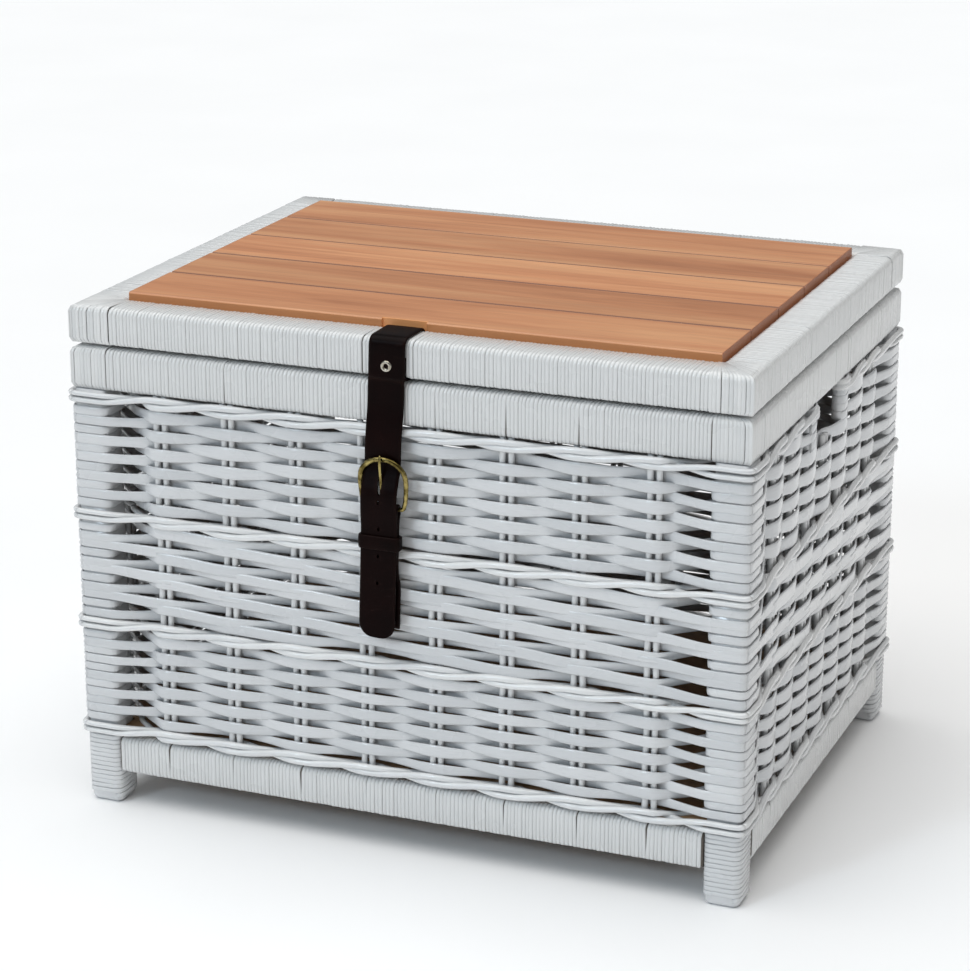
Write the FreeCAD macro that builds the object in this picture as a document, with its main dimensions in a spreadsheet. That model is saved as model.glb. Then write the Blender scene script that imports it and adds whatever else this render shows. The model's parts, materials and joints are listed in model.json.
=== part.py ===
import FreeCAD, Part
import os
import re
from types import SimpleNamespace

import Sketcher

# A wicker storage trunk: a square-stock frame bound with cane, woven walls on upright stakes,
# a hinged lid with five boards, and a leather strap that closes into a brass buckle.
# Millimetres. +X is the trunk's right, +Y its back, +Z up. The origin is on the floor, under the middle.

SIZES = {
    "width": 600, "depth": 460,
    "stock": 30, "cane": 1.4,
    "foot_chamfer": 3, "foot_bare": 2,
    "bottom_rail_low": 30, "bottom_rail_high": 64,
    "top_rail_low": 378, "top_rail_high": 415,
    "lid_low": 417.8, "lid_high": 451, "lid_rail": 37,
    "wall": 12, "stake": 5.6, "stake_gap": 2, "stake_room": 0.3, "stake_depth": 6,
    "front_pitch": 62.6, "side_pitch": 49,
    "front_stakes": 8, "side_stakes": 7,
    "wale_proud": 4, "wale_height": 14,
    "lower_wale": 162, "upper_wale": 260,
    "handle_width": 78, "handle_low": 342,
    "floor_thick": 6, "floor_room": 0.5,
    "board_count": 5, "board_gap": 1, "board_thick": 14, "board_top": 456.5, "board_room": 1,
    "board_chamfer": 1.2, "batten_width": 40, "batten_thick": 18, "batten_place": 170,
    "hinge_place": 190, "hinge_length": 60, "leaf_thick": 2, "leaf_height": 30,
    "knuckle": 4, "knuckle_middle": 20, "knuckle_room": 0.3, "pin": 2, "pin_room": 0.06,
    "hinge_level": 416.4, "screw": 1.75, "screw_head": 3.5, "screw_head_thick": 1.6,
    "screw_length": 16, "screw_pitch": 20, "screw_level": 17,
    "strap_place": -9, "strap_width": 32, "leather": 2.2, "strap_notch_room": 4,
    "loop_tail": 8, "layer_room": 0.2, "neck_level": 396, "wale_level": 380, "wale_room": 0.6,
    "arc_back_level": 360, "arc_front_level": 342, "arc_room": 1.9,
    "bar_top_level": 327, "bar_foot_level": 306, "bar_lift": 5.7, "keeper_top_level": 294, "keeper_room": 0.3,
    "rivet": 1.6, "rivet_head": 5, "rivet_head_thick": 1.5, "rivet_level": 429,
    "strap_hole": 2, "strap_hole_pitch": 23.5, "strap_hole_level": 245.5, "strap_holes": 4,
    "strap_tip": 197.6, "tip_round": 12.8,
    "prong_slot_low": 319.5, "prong_slot_high": 343, "prong_slot_room": 0.5,
    "bar_level": 310, "bar_out": 8.5, "heel_rod": 1.8, "fold": 2.1,
    "frame_rod": 1.9, "frame_half": 20.6, "heel_half": 17.6, "arc_level": 352, "arc_out": 11.3,
    "prong": 1.2, "prong_ring": 3.2, "prong_width": 3, "prong_room": 0.08,
    "prong_root": 1.7, "prong_rest": 0.1, "prong_tip_out": 0.3, "prong_tip_up": 3,
    "keeper_low": 275, "keeper_height": 12, "keeper_half": 16.6, "keeper_leather": 1.8,
    "keeper_back": 4.2, "keeper_front": 15.4,
    "lower_strap_end": 204, "lower_rivet": 216, "lower_rivet_pitch": 18,
    "lower_bend": 242, "lower_rise": 256, "fold_shoulder": 10, "fold_neck": 3, "fold_end": 263,
    "fold_slot_below": 13, "fold_slot_above": 7, "fold_slot_room": 0.6, "fold_step": 30, "gap": 0.1,
}

doc = FreeCAD.newDocument("wicker_storage_trunk")
sheet = doc.addObject("Spreadsheet::Sheet", "Sizes")
for row, (alias, value) in enumerate(SIZES.items(), 1):
    sheet.set(f"A{row}", alias)
    sheet.set(f"B{row}", str(value))
    sheet.setAlias(f"B{row}", alias)
doc.recompute()
size = SimpleNamespace(**{alias: float(sheet.get(alias)) for alias in SIZES})
WORD = re.compile(r"[a-z][a-z_]*")
LOWER_RIVETS = 2
parts = []


# ---- helpers: formulas, primitives, booleans, sketches ----

def bind(obj, prop, formula):
    """Binds a property to a formula whose words are cells of the sheet."""
    obj.setExpression(prop, WORD.sub(lambda word: "Sizes." + word.group(), formula))


def place(obj, x, y, z):
    for axis, formula in zip("xyz", (x, y, z)):
        bind(obj, "Placement.Base." + axis, formula)


def keep(obj, label):
    """Marks an object as a sub-part, under the name of its node."""
    obj.Label = label
    parts.append(obj)
    return obj


def block(name, x, y, z):
    """A box between two formulas along each axis."""
    obj = doc.addObject("Part::Box", name)
    for prop, (low, high) in zip(("Length", "Width", "Height"), (x, y, z)):
        bind(obj, prop, f"({high}) - ({low})")
    place(obj, x[0], y[0], z[0])
    return obj


AXES = {"x": FreeCAD.Rotation(FreeCAD.Vector(0, 1, 0), 90),
        "y": FreeCAD.Rotation(FreeCAD.Vector(1, 0, 0), -90),
        "z": FreeCAD.Rotation()}


def rod(name, axis, radius, length, x, y, z):
    """A cylinder along +X, +Y or +Z from a start point."""
    obj = doc.addObject("Part::Cylinder", name)
    obj.Placement.Rotation = AXES[axis]
    bind(obj, "Radius", radius)
    bind(obj, "Height", length)
    place(obj, x, y, z)
    return obj


def cut(name, base, tool):
    obj = doc.addObject("Part::Cut", name)
    obj.Base, obj.Tool = base, tool
    return obj


def fuse(name, shapes):
    obj = doc.addObject("Part::MultiFuse", name)
    obj.Shapes = shapes
    return obj


def group(name, members):
    """Separate solids that share one node."""
    obj = doc.addObject("Part::Compound", name)
    obj.Links = members
    return obj


def chamfer(name, base, width, picks):
    obj = doc.addObject("Part::Chamfer", name)
    obj.Base = base
    doc.recompute()
    obj.Edges = [(i, width, width) for i, edge in enumerate(base.Shape.Edges, 1) if picks(edge)]
    return obj


def mirrored(low, high, sign):
    """A span on the positive side of an axis, or its mirror image."""
    return (low, high) if sign > 0 else (f"-({high})", f"-({low})")


def plane(body, role):
    return next(f for f in body.Origin.OriginFeatures if f.Role == role)


def outline(body, role, loops, name, level="0"):
    """A sketch of closed outlines, each corner bound to its two formulas."""
    sketch = body.newObject("Sketcher::SketchObject", name)
    sketch.AttachmentSupport = [(plane(body, role), "")]
    sketch.MapMode = "FlatFace"
    bind(sketch, "AttachmentOffset.Base.z", level)
    for loop in loops:
        first = sketch.GeometryCount
        count = len(loop)
        guess = [FreeCAD.Vector(number(a), number(b), 0) for a, b in loop]
        for i in range(count):
            sketch.addGeometry(Part.LineSegment(guess[i], guess[(i + 1) % count]), False)
        for i, (across, up) in enumerate(loop):
            here = first + i
            sketch.addConstraint(Sketcher.Constraint("Coincident", here, 2, first + (i + 1) % count, 1))
            for kind, formula, value in (("DistanceX", across, guess[i].x), ("DistanceY", up, guess[i].y)):
                made = sketch.addConstraint(Sketcher.Constraint(kind, -1, 1, here, 1, value))
                bind(sketch, f"Constraints[{made}]", formula)
    return sketch


def number(formula):
    """The value of a formula, worked out by a cell of the sheet."""
    sheet.set("D1", "=" + formula)
    sheet.recompute()
    return float(sheet.get("D1"))


def new_body(name):
    return doc.addObject("PartDesign::Body", name)


def pad(body, sketch, length, name):
    obj = body.newObject("PartDesign::Pad", name)
    obj.Profile = sketch
    bind(obj, "Length", length)
    return obj


def pocket(body, sketch, name, back=False):
    """A pocket through the whole body, and a check that it removed something."""
    before = body.Shape.Volume
    obj = body.newObject("PartDesign::Pocket", name)
    obj.Profile = sketch
    obj.Type = "ThroughAll"
    obj.Reversed = back
    doc.recompute()
    if body.Shape.Volume >= before - 1e-3:
        raise ValueError(f"{name} removes nothing")
    return obj


def rectangle(x, y):
    return [(x[0], y[0]), (x[1], y[0]), (x[1], y[1]), (x[0], y[1])]


def feature(name, shape):
    obj = doc.addObject("Part::Feature", name)
    obj.Shape = shape
    return obj


def band(path, thick):
    """A bent strip, from the (out, level) points of its centre line, with half its thickness to each side."""
    vectors = [FreeCAD.Vector(0, -(size.depth / 2 + out), level) for out, level in path]
    runs = [(b - a).normalize() for a, b in zip(vectors, vectors[1:])]
    left, right = [], []
    for i, point in enumerate(vectors):
        before, after = runs[max(i - 1, 0)], runs[min(i, len(runs) - 1)]
        across = (before + after).normalize().cross(FreeCAD.Vector(1, 0, 0))
        reach = thick / 2 / max(before.cross(FreeCAD.Vector(1, 0, 0)).dot(across), 0.5)
        left.append(point + across * reach)
        right.append(point - across * reach)
    return Part.Face(Part.makePolygon(left + right[::-1] + left[:1]))


def strip(path, thick, width):
    """A bent strip of leather, centred on the strap's place."""
    solid = band(path, thick).extrude(FreeCAD.Vector(width, 0, 0))
    solid.translate(FreeCAD.Vector(size.strap_place - width / 2, 0, 0))
    return solid


def hole_y(radius, level):
    """A cutter along Y through everything at the strap's place."""
    start = FreeCAD.Vector(size.strap_place, -size.depth, level)
    return Part.makeCylinder(radius, size.depth, start, FreeCAD.Vector(0, 1, 0))


def slot_y(half, low, high):
    """A slot cutter along Y, as wide as two halves, between two levels."""
    corner = FreeCAD.Vector(size.strap_place - half, -size.depth, low)
    return Part.makeBox(2 * half, size.depth, high - low, corner)


# ---- the frame: posts and rails of square stock, bound with cane ----

SIDES = {"front": ("y", -1), "back": ("y", 1), "left": ("x", -1), "right": ("x", 1)}
HALF = {"x": "width / 2", "y": "depth / 2"}


def make_posts():
    """Four posts, each a little chamfered at the foot, with the cane bound round it below the wall."""
    for y_name, y_sign in (("front", -1), ("back", 1)):
        for x_name, x_sign in (("left", -1), ("right", 1)):
            name = f"post_{y_name}_{x_name}"
            x = mirrored("width / 2 - cane - stock", "width / 2 - cane", x_sign)
            y = mirrored("depth / 2 - cane - stock", "depth / 2 - cane", y_sign)
            stock = block(name + "_stock", x, y, ("0", "top_rail_low"))
            post = chamfer(name, stock, size.foot_chamfer, lambda edge: edge.BoundBox.ZMax < 1e-6)
            keep(post, name)
            skin_x = mirrored("width / 2 - 2 * cane - stock", "width / 2", x_sign)
            skin_y = mirrored("depth / 2 - 2 * cane - stock", "depth / 2", y_sign)
            skin = block(name + "_binding_block", skin_x, skin_y,
                         ("foot_bare + foot_chamfer", "bottom_rail_high"))
            post_bindings.append(cut(name + "_binding", skin, post))
    keep(group("foot_bindings", post_bindings), "foot_bindings")


def bound_rail(name, side, reach, low, high, deep):
    """A rail along one side, from -reach to reach, and the cane binding round it."""
    axis, sign = SIDES[side]
    across = mirrored(f"{HALF[axis]} - ({deep})", HALF[axis], sign)
    inner = mirrored(f"{HALF[axis]} - ({deep}) + cane", f"{HALF[axis]} - cane", sign)
    along = (f"-({reach})", reach)
    if axis == "y":
        outer_xy, inner_xy = (along, across), (along, inner)
    else:
        outer_xy, inner_xy = (across, along), (inner, along)
    rail = block(f"{name}_{side}_stock", *inner_xy, (f"{low} + cane", f"{high} - cane"))
    skin = block(f"{name}_binding_{side}_block", *outer_xy, (low, high))
    return rail, skin


def make_rails():
    wrapped = "stock + 2 * cane"
    kinds = {
        "bottom_rail": ("width / 2 - stock - 2 * cane", "depth / 2 - stock - 2 * cane",
                        "bottom_rail_low", "bottom_rail_high", wrapped),
        "top_rail": ("width / 2", "depth / 2 - stock - 2 * cane", "top_rail_low", "top_rail_high", wrapped),
        "lid_rail": ("width / 2", "depth / 2 - lid_rail", "lid_low", "lid_high", "lid_rail"),
    }
    for name, (long_reach, short_reach, low, high, deep) in kinds.items():
        for side in SIDES:
            reach = long_reach if SIDES[side][0] == "y" else short_reach
            rail, skin = bound_rail(name, side, reach, low, high, deep)
            binding = cut(f"{name}_binding_{side}_tube", skin, rail)
            if side == "back" and name in hinge_holes:
                rail = cut(f"{name}_back_drilled", rail, hinge_holes[name])
                binding = cut(f"{name}_binding_back_drilled", binding, hinge_holes[name])
            keep(rail, f"{name}_{side}")
            keep(binding, f"{name}_binding_{side}")


# ---- the woven walls, their stakes and the wales round them ----

OTHER = {"x": "y", "y": "x"}


def wall_outline(side):
    """The wall seen from above: thick between the posts, thin over them, mitred at the corners."""
    axis, sign = SIDES[side]
    other = OTHER[axis]
    face, skin, inner = HALF[axis], f"{HALF[axis]} - cane", f"{HALF[axis]} - wall"
    tip, post_out, post_in = HALF[other], f"{HALF[other]} - cane", f"{HALF[other]} - cane - stock"
    half = [(tip, face), (post_out, skin), (post_in, skin), (post_in, inner)]
    loop = half + [(f"-({a})", b) for a, b in half[::-1]]
    loop = [(a, b if sign > 0 else f"-({b})") for a, b in loop]
    return loop if axis == "y" else [(b, a) for a, b in loop]


def stake_centre(index, count, pitch):
    """How far along the wall a pair of stakes stands."""
    return f"({index} - ({count} - 1) / 2) * {pitch}"


def stake_slot(side, index):
    """The channel in the weave that a pair of stakes fills, seen from above."""
    axis, sign = SIDES[side]
    count, pitch = ("front_stakes", "front_pitch") if axis == "y" else ("side_stakes", "side_pitch")
    middle = stake_centre(index, count, pitch)
    half = "(stake + stake_gap / 2 + stake_room)"
    along = (f"{middle} - {half}", f"{middle} + {half}")
    deep = mirrored(f"{HALF[axis]} - stake_depth - stake / 2 - stake_room",
                    f"{HALF[axis]} - stake_depth + stake / 2 + stake_room", sign)
    return rectangle(along, deep) if axis == "y" else rectangle(deep, along)


def make_wall(side):
    axis, sign = SIDES[side]
    count = int(size.front_stakes if axis == "y" else size.side_stakes)
    body = new_body(f"weave_{side}_panel")
    shape = outline(body, "XY_Plane", [wall_outline(side)], f"weave_{side}_outline", "bottom_rail_high")
    pad(body, shape, "top_rail_low - bottom_rail_high", f"weave_{side}_pad")
    doc.recompute()
    slots = [stake_slot(side, i) for i in range(count)]
    slot_sketch = outline(body, "XY_Plane", slots, f"weave_{side}_slots", "top_rail_low")
    pocket(body, slot_sketch, f"weave_{side}_channels")
    if axis == "x":
        hole = rectangle(("-handle_width / 2", "handle_width / 2"), ("handle_low", "top_rail_low + cane"))
        hole_sketch = outline(body, "YZ_Plane", [hole], f"weave_{side}_handle", f"{sign} * width")
        pocket(body, hole_sketch, f"weave_{side}_handle_hole", back=sign < 0)
    if side == "front":
        holes = [rod(f"weave_rivet_hole_{i}", "y", "rivet", "2 * wall", "strap_place",
                     "-depth / 2 - wall / 2", f"lower_rivet + {i} * lower_rivet_pitch")
                 for i in range(LOWER_RIVETS)]
        body = cut("weave_front_drilled", body, group("weave_rivet_holes", holes))
    keep(body, f"weave_{side}")


def make_stakes():
    """Pairs of round stakes from the bottom rail to the top rail; the one under a handle is short."""
    for label, sides in (("stakes_front_back", ("front", "back")), ("stakes_sides", ("left", "right"))):
        rods = []
        for side in sides:
            axis, sign = SIDES[side]
            count, pitch = ("front_stakes", "front_pitch") if axis == "y" else ("side_stakes", "side_pitch")
            total = int(SIZES[count])
            for index in range(total):
                short = axis == "x" and index == total // 2
                top = "handle_low" if short else "top_rail_low"
                for twin in (-1, 1):
                    middle = stake_centre(index, count, pitch)
                    along = f"{middle} + {twin} * (stake + stake_gap) / 2"
                    deep = f"{sign} * ({HALF[axis]} - stake_depth)"
                    x, y = (along, deep) if axis == "y" else (deep, along)
                    rods.append(rod(f"stake_{side}_{index}_{twin + 1}", "z", "stake / 2",
                                    f"{top} - bottom_rail_high", x, y, "bottom_rail_high"))
        keep(group(label, rods), label)


def make_wales():
    """Four bands of twisted rods round the outside. The top one stops at each handle."""
    levels = {"wale_bottom": "bottom_rail_high", "wale_lower": "lower_wale",
              "wale_upper": "upper_wale", "wale_top": "top_rail_low - wale_height"}
    for name, low in levels.items():
        body = new_body(name)
        ring = [rectangle((f"-width / 2 - {out}", f"width / 2 + {out}"),
                          (f"-depth / 2 - {out}", f"depth / 2 + {out}"))
                for out in ("wale_proud", "0")]
        pad(body, outline(body, "XY_Plane", ring, name + "_outline", low), "wale_height", name + "_pad")
        doc.recompute()
        if name == "wale_top":
            gap = rectangle(("-handle_width / 2", "handle_width / 2"), ("handle_low", "top_rail_low + cane"))
            pocket(body, outline(body, "YZ_Plane", [gap], name + "_gap", "width"), name + "_gaps")
        keep(body, name)


def make_floor():
    """A thin panel on the bottom rails, notched round the posts."""
    body = new_body("floor_panel")
    out_x, out_y = "width / 2 - wall - floor_room", "depth / 2 - wall - floor_room"
    in_x = "width / 2 - cane - stock - floor_room"
    in_y = "depth / 2 - cane - stock - floor_room"
    quarter = [(out_x, in_y), (in_x, in_y), (in_x, out_y)]
    loop = quarter + [(f"-({a})", b) for a, b in quarter[::-1]]
    loop += [(f"-({a})", f"-({b})") for a, b in quarter] + [(a, f"-({b})") for a, b in quarter[::-1]]
    sketch = outline(body, "XY_Plane", [loop], "floor_outline", "bottom_rail_high")
    pad(body, sketch, "floor_thick", "floor_pad")
    keep(body, "floor_panel")


# ---- the lid's boards and the battens under them ----

def make_boards():
    count = int(size.board_count)
    pitch = "(depth - 2 * lid_rail) / board_count"
    half_x = "width / 2 - lid_rail - board_room"
    for i in range(count):
        name = f"board_{i + 1}"
        low = f"-depth / 2 + lid_rail + {i} * {pitch} + board_gap / 2"
        high = f"-depth / 2 + lid_rail + {i + 1} * {pitch} - board_gap / 2"
        body = new_body(name)
        x = (f"-({half_x})", half_x)
        loop = rectangle(x, (low, high))
        if i == 0:
            notch = "strap_width / 2 + strap_notch_room"
            notch_x = (f"strap_place - ({notch})", f"strap_place + {notch}")
            notch_y = "-depth / 2 + lid_rail + leather + board_gap / 2"
            loop[1:1] = [(notch_x[0], low), (notch_x[0], notch_y), (notch_x[1], notch_y), (notch_x[1], low)]
        shape = outline(body, "XY_Plane", [loop], name + "_outline", "board_top - board_thick")
        board = pad(body, shape, "board_thick", name + "_pad")
        doc.recompute()
        edges = [f"Edge{k}" for k, edge in enumerate(board.Shape.Edges, 1)
                 if edge.BoundBox.ZMin > size.board_top - 1e-6 and edge.Length > size.width / 4]
        soften = body.newObject("PartDesign::Chamfer", name + "_chamfer")
        soften.Base = (board, edges)
        bind(soften, "Size", "board_chamfer")
        keep(body, name)
    inner = "depth / 2 - lid_rail"
    battens = [block(f"lid_batten_{i}", (f"{sign} * batten_place - batten_width / 2",
                                         f"{sign} * batten_place + batten_width / 2"),
                     (f"-({inner})", inner),
                     ("board_top - board_thick - batten_thick", "board_top - board_thick"))
               for i, sign in enumerate((-1, 1))]
    keep(group("lid_battens", battens), "lid_battens")


# ---- two butt hinges on the back ----

def hinge_screw_spots(up):
    """The places of one leaf's screws on both hinges: (x, z) formulas."""
    return [(f"{side} * hinge_place + {step} * screw_pitch", f"hinge_level + {up} * screw_level")
            for side in (-1, 1) for step in (-1, 0, 1)]


def make_hinge_screws():
    for label, rail, up in (("hinge_screws_body", "top_rail", -1), ("hinge_screws_lid", "lid_rail", 1)):
        screws, holes = [], []
        for i, (x, z) in enumerate(hinge_screw_spots(up)):
            start = "depth / 2 + leaf_thick - screw_length"
            shank = rod(f"{label}_shank_{i}", "y", "screw", "screw_length", x, start, z)
            head = rod(f"{label}_head_{i}", "y", "screw_head", "screw_head_thick", x,
                       "depth / 2 + leaf_thick", z)
            screws.append(fuse(f"{label}_{i}", [shank, head]))
            holes.append(rod(f"{label}_hole_{i}", "y", "screw", "screw_length", x, start, z))
        keep(group(label, screws), label)
        hinge_holes[rail] = group(label + "_holes", holes)


def make_hinge_leaves():
    """Leaves on a common pin: the body's leaf has the outer knuckles, the lid's leaf the middle one."""
    y_axis = "depth / 2 + knuckle"
    plate_y = ("depth / 2", "depth / 2 + leaf_thick")
    pins = []
    for label, rail, up in (("hinge_leaves_body", "top_rail", -1), ("hinge_leaves_lid", "lid_rail", 1)):
        leaves = []
        for side in (-1, 1):
            name = f"{label}_{side + 1}"
            place_x = f"{side} * hinge_place"
            full = (f"{place_x} - hinge_length / 2", f"{place_x} + hinge_length / 2")
            middle = "knuckle_middle / 2"
            spans = [(f"{place_x} - {middle} + knuckle_room", f"{place_x} + {middle} - knuckle_room")]
            if up < 0:
                spans = [(full[0], f"{place_x} - {middle}"), (f"{place_x} + {middle}", full[1])]
            near, far = f"hinge_level + {up} * (knuckle + knuckle_room)", f"hinge_level + {up} * leaf_height"
            pieces = [block(name + "_plate", full, plate_y, (near, far) if up > 0 else (far, near))]
            for k, (low, high) in enumerate(spans):
                neck = (near, "hinge_level") if up < 0 else ("hinge_level", near)
                pieces.append(block(f"{name}_neck_{k}", (low, high), plate_y, neck))
                pieces.append(rod(f"{name}_knuckle_{k}", "x", "knuckle", f"({high}) - ({low})", low, y_axis,
                                  "hinge_level"))
            bore = "pin" if up < 0 else "pin + pin_room"
            hole = rod(name + "_bore", "x", bore, "hinge_length", full[0], y_axis, "hinge_level")
            solid = cut(name + "_bored", fuse(name + "_body", pieces), hole)
            leaves.append(cut(name, solid, hinge_holes[rail]))
            if up < 0:
                pins.append(rod(f"hinge_pin_{side + 1}", "x", "pin", "hinge_length", full[0], y_axis,
                                "hinge_level"))
        keep(group(label, leaves), label)
    keep(group("hinge_pins", pins), "hinge_pins")


# ---- the strap, its buckle and their rivets ----

def make_rivet(level, out, grip):
    """A rivet along Y whose head's inner face stands `out` from the front, with its shank behind it."""
    x, front = size.strap_place, -size.depth / 2 - out
    along = FreeCAD.Vector(0, 1, 0)
    head = Part.makeCylinder(size.rivet_head, size.rivet_head_thick,
                             FreeCAD.Vector(x, front - size.rivet_head_thick, level), along)
    shank = Part.makeCylinder(size.rivet, grip, FreeCAD.Vector(x, front, level), along)
    return head.fuse(shank).removeSplitter()


def make_strap():
    """One strap in two solids: the loop round the lid's front rail, and the tongue that hangs from it."""
    leather = size.leather
    inside, outside = leather / 2, 1.5 * leather + size.layer_room
    under, over = size.lid_low - leather / 2, size.lid_high + leather / 2
    behind = -size.lid_rail - leather / 2
    loop_path = [(inside, size.rivet_level + size.loop_tail), (inside, under), (behind, under),
                 (behind, over), (outside, over), (outside, size.lid_low)]
    loop = strip(loop_path, leather, size.strap_width).cut(hole_y(size.rivet, size.rivet_level))
    keep(feature("strap_loop", loop), "strap_loop")
    rivet = make_rivet(size.rivet_level, outside + leather / 2, 2 * leather + size.layer_room)
    keep(feature("strap_rivet", rivet), "strap_rivet")

    over_wale = size.wale_proud + leather / 2 + size.wale_room
    behind_arc = size.arc_out - size.frame_rod - size.arc_room
    over_bar = size.bar_out + size.bar_lift
    in_keeper = size.keeper_front - size.keeper_leather - leather / 2 - size.keeper_room
    tongue_path = [(outside, size.lid_low - 2 * size.layer_room), (outside, size.neck_level),
                   (over_wale, size.wale_level), (behind_arc, size.arc_back_level),
                   (behind_arc, size.arc_front_level), (over_bar, size.bar_top_level),
                   (over_bar, size.bar_foot_level), (in_keeper, size.keeper_top_level),
                   (in_keeper, size.strap_tip)]
    tongue = strip(tongue_path, leather, size.strap_width)
    corners = [edge for edge in tongue.Edges
               if edge.BoundBox.ZMax < size.strap_tip + 1 and edge.BoundBox.XLength < 1e-6
               and edge.BoundBox.YLength > 1]
    tongue = tongue.makeFillet(size.tip_round, corners)
    half_slot = size.prong + size.prong_slot_room
    tongue = tongue.cut(slot_y(half_slot, size.prong_slot_low, size.prong_slot_high))
    for i in range(int(size.strap_holes)):
        tongue = tongue.cut(hole_y(size.strap_hole, size.strap_hole_level + i * size.strap_hole_pitch))
    keep(feature("strap_tongue", tongue), "strap_tongue")


def front_point(across, out, level):
    return FreeCAD.Vector(size.strap_place + across, -(size.depth / 2 + out), level)


def bar_between(a, b, radius):
    return Part.makeCylinder(radius, (b - a).Length, a, b - a)


def make_buckle():
    """A horseshoe frame on a heel bar, and the prong that turns on the bar."""
    heel = front_point(0, size.bar_out, size.bar_level)
    crown = front_point(0, size.arc_out, size.arc_level)
    up = (crown - heel).normalize()
    tall = (crown - heel).Length
    arc_centre = heel + up * (tall - size.frame_half)
    right = FreeCAD.Vector(1, 0, 0)
    normal = right.cross(up)
    arc = Part.makeTorus(size.frame_half, size.frame_rod, FreeCAD.Vector(), FreeCAD.Vector(0, 0, 1),
                         -180, 180, 180)
    turn = FreeCAD.Rotation(right, up, normal, "ZXY")
    arc.Placement = FreeCAD.Placement(arc_centre, turn)
    frame = bar_between(heel - right * size.heel_half, heel + right * size.heel_half, size.heel_rod)
    for sign in (-1, 1):
        corner = heel + right * (sign * size.heel_half)
        shoulder = arc_centre + right * (sign * size.frame_half)
        frame = frame.fuse(Part.makeSphere(size.frame_rod, corner))
        frame = frame.fuse(bar_between(corner, shoulder, size.frame_rod))
        frame = frame.fuse(Part.makeSphere(size.frame_rod, shoulder))
    frame = frame.fuse(arc)
    keep(feature("buckle_frame", frame), "buckle_frame")

    half = size.prong_width / 2
    ring = bar_between(heel - right * half, heel + right * half, size.prong_ring)
    root = front_point(0, size.bar_out + size.prong_root, size.bar_level)
    rest = size.arc_out + size.frame_rod + size.prong + size.prong_rest
    tip = front_point(0, rest + size.prong_tip_out, size.arc_level + size.prong_tip_up)
    prong = ring.fuse(bar_between(root, tip, size.prong)).fuse(Part.makeSphere(size.prong, tip))
    bore = bar_between(heel - right * size.heel_half, heel + right * size.heel_half,
                       size.heel_rod + size.prong_room)
    keep(feature("buckle_prong", prong.cut(bore)), "buckle_prong")


def make_buckle_strap():
    """The lower strap: riveted to the wall, up behind the tongue, folded round the heel bar and sewn down."""
    leather = size.leather
    out, level, mid = size.bar_out, size.bar_level, size.fold + leather / 2
    back, front = out - leather / 2 - size.gap, out + leather / 2 + size.gap
    wall = leather / 2 + size.gap
    shoulder, neck = level - size.fold_shoulder, level - size.fold_neck
    path = [(wall, size.lower_strap_end), (wall, size.lower_bend), (back, size.lower_rise),
            (back, shoulder), (out - mid, neck)]
    for angle in range(180, -1, -int(size.fold_step)):
        spoke = FreeCAD.Rotation(FreeCAD.Vector(1, 0, 0), angle).multVec(FreeCAD.Vector(0, mid, 0))
        path.append((out + spoke.y, level + spoke.z))
    path += [(out + mid, neck), (front, shoulder), (front, size.fold_end)]
    strap = strip(path, leather, size.strap_width)
    half_slot = size.prong_width / 2 + size.fold_slot_room
    strap = strap.cut(slot_y(half_slot, level - size.fold_slot_below, level + size.fold_slot_above))
    levels = [size.lower_rivet + i * size.lower_rivet_pitch for i in range(LOWER_RIVETS)]
    for each in levels:
        strap = strap.cut(hole_y(size.rivet, each))
    keep(feature("buckle_strap", strap), "buckle_strap")
    out = leather + size.gap
    rivets = [make_rivet(each, out, out + size.wall) for each in levels]
    keep(feature("buckle_rivets", Part.makeCompound(rivets)), "buckle_rivets")


def make_keeper():
    """A closed loop of leather round the tongue and the lower strap."""
    body = new_body("keeper_loop")
    outer_x = ("strap_place - keeper_half - keeper_leather", "strap_place + keeper_half + keeper_leather")
    inner_x = ("strap_place - keeper_half", "strap_place + keeper_half")
    outer_y = ("-depth / 2 - keeper_front", "-depth / 2 - keeper_back")
    inner_y = ("-depth / 2 - keeper_front + keeper_leather", "-depth / 2 - keeper_back - keeper_leather")
    loops = [rectangle(outer_x, outer_y), rectangle(inner_x, inner_y)]
    pad(body, outline(body, "XY_Plane", loops, "keeper_outline", "keeper_low"), "keeper_height", "keeper_pad")
    keep(body, "keeper_loop")


# ---- the whole trunk ----

post_bindings, hinge_holes = [], {}
make_posts()
make_hinge_screws()
make_rails()
for side in SIDES:
    make_wall(side)
make_stakes()
make_wales()
make_floor()
make_boards()
make_hinge_leaves()
make_strap()
make_buckle()
make_buckle_strap()
make_keeper()

doc.recompute()
failed = [obj.Name for obj in doc.Objects if "Invalid" in obj.State or "Error" in obj.State]
failed += [part.Label for part in parts if part.Shape.isNull() or not part.Shape.isValid()]
if failed:
    raise ValueError(f"these objects failed: {failed}")
os.makedirs("parts", exist_ok=True)
for part in parts:
    part.Shape.exportStep(f"parts/{part.Label}.step")
print(len(parts), "sub-parts written")
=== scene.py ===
import json
import math
import random

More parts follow.
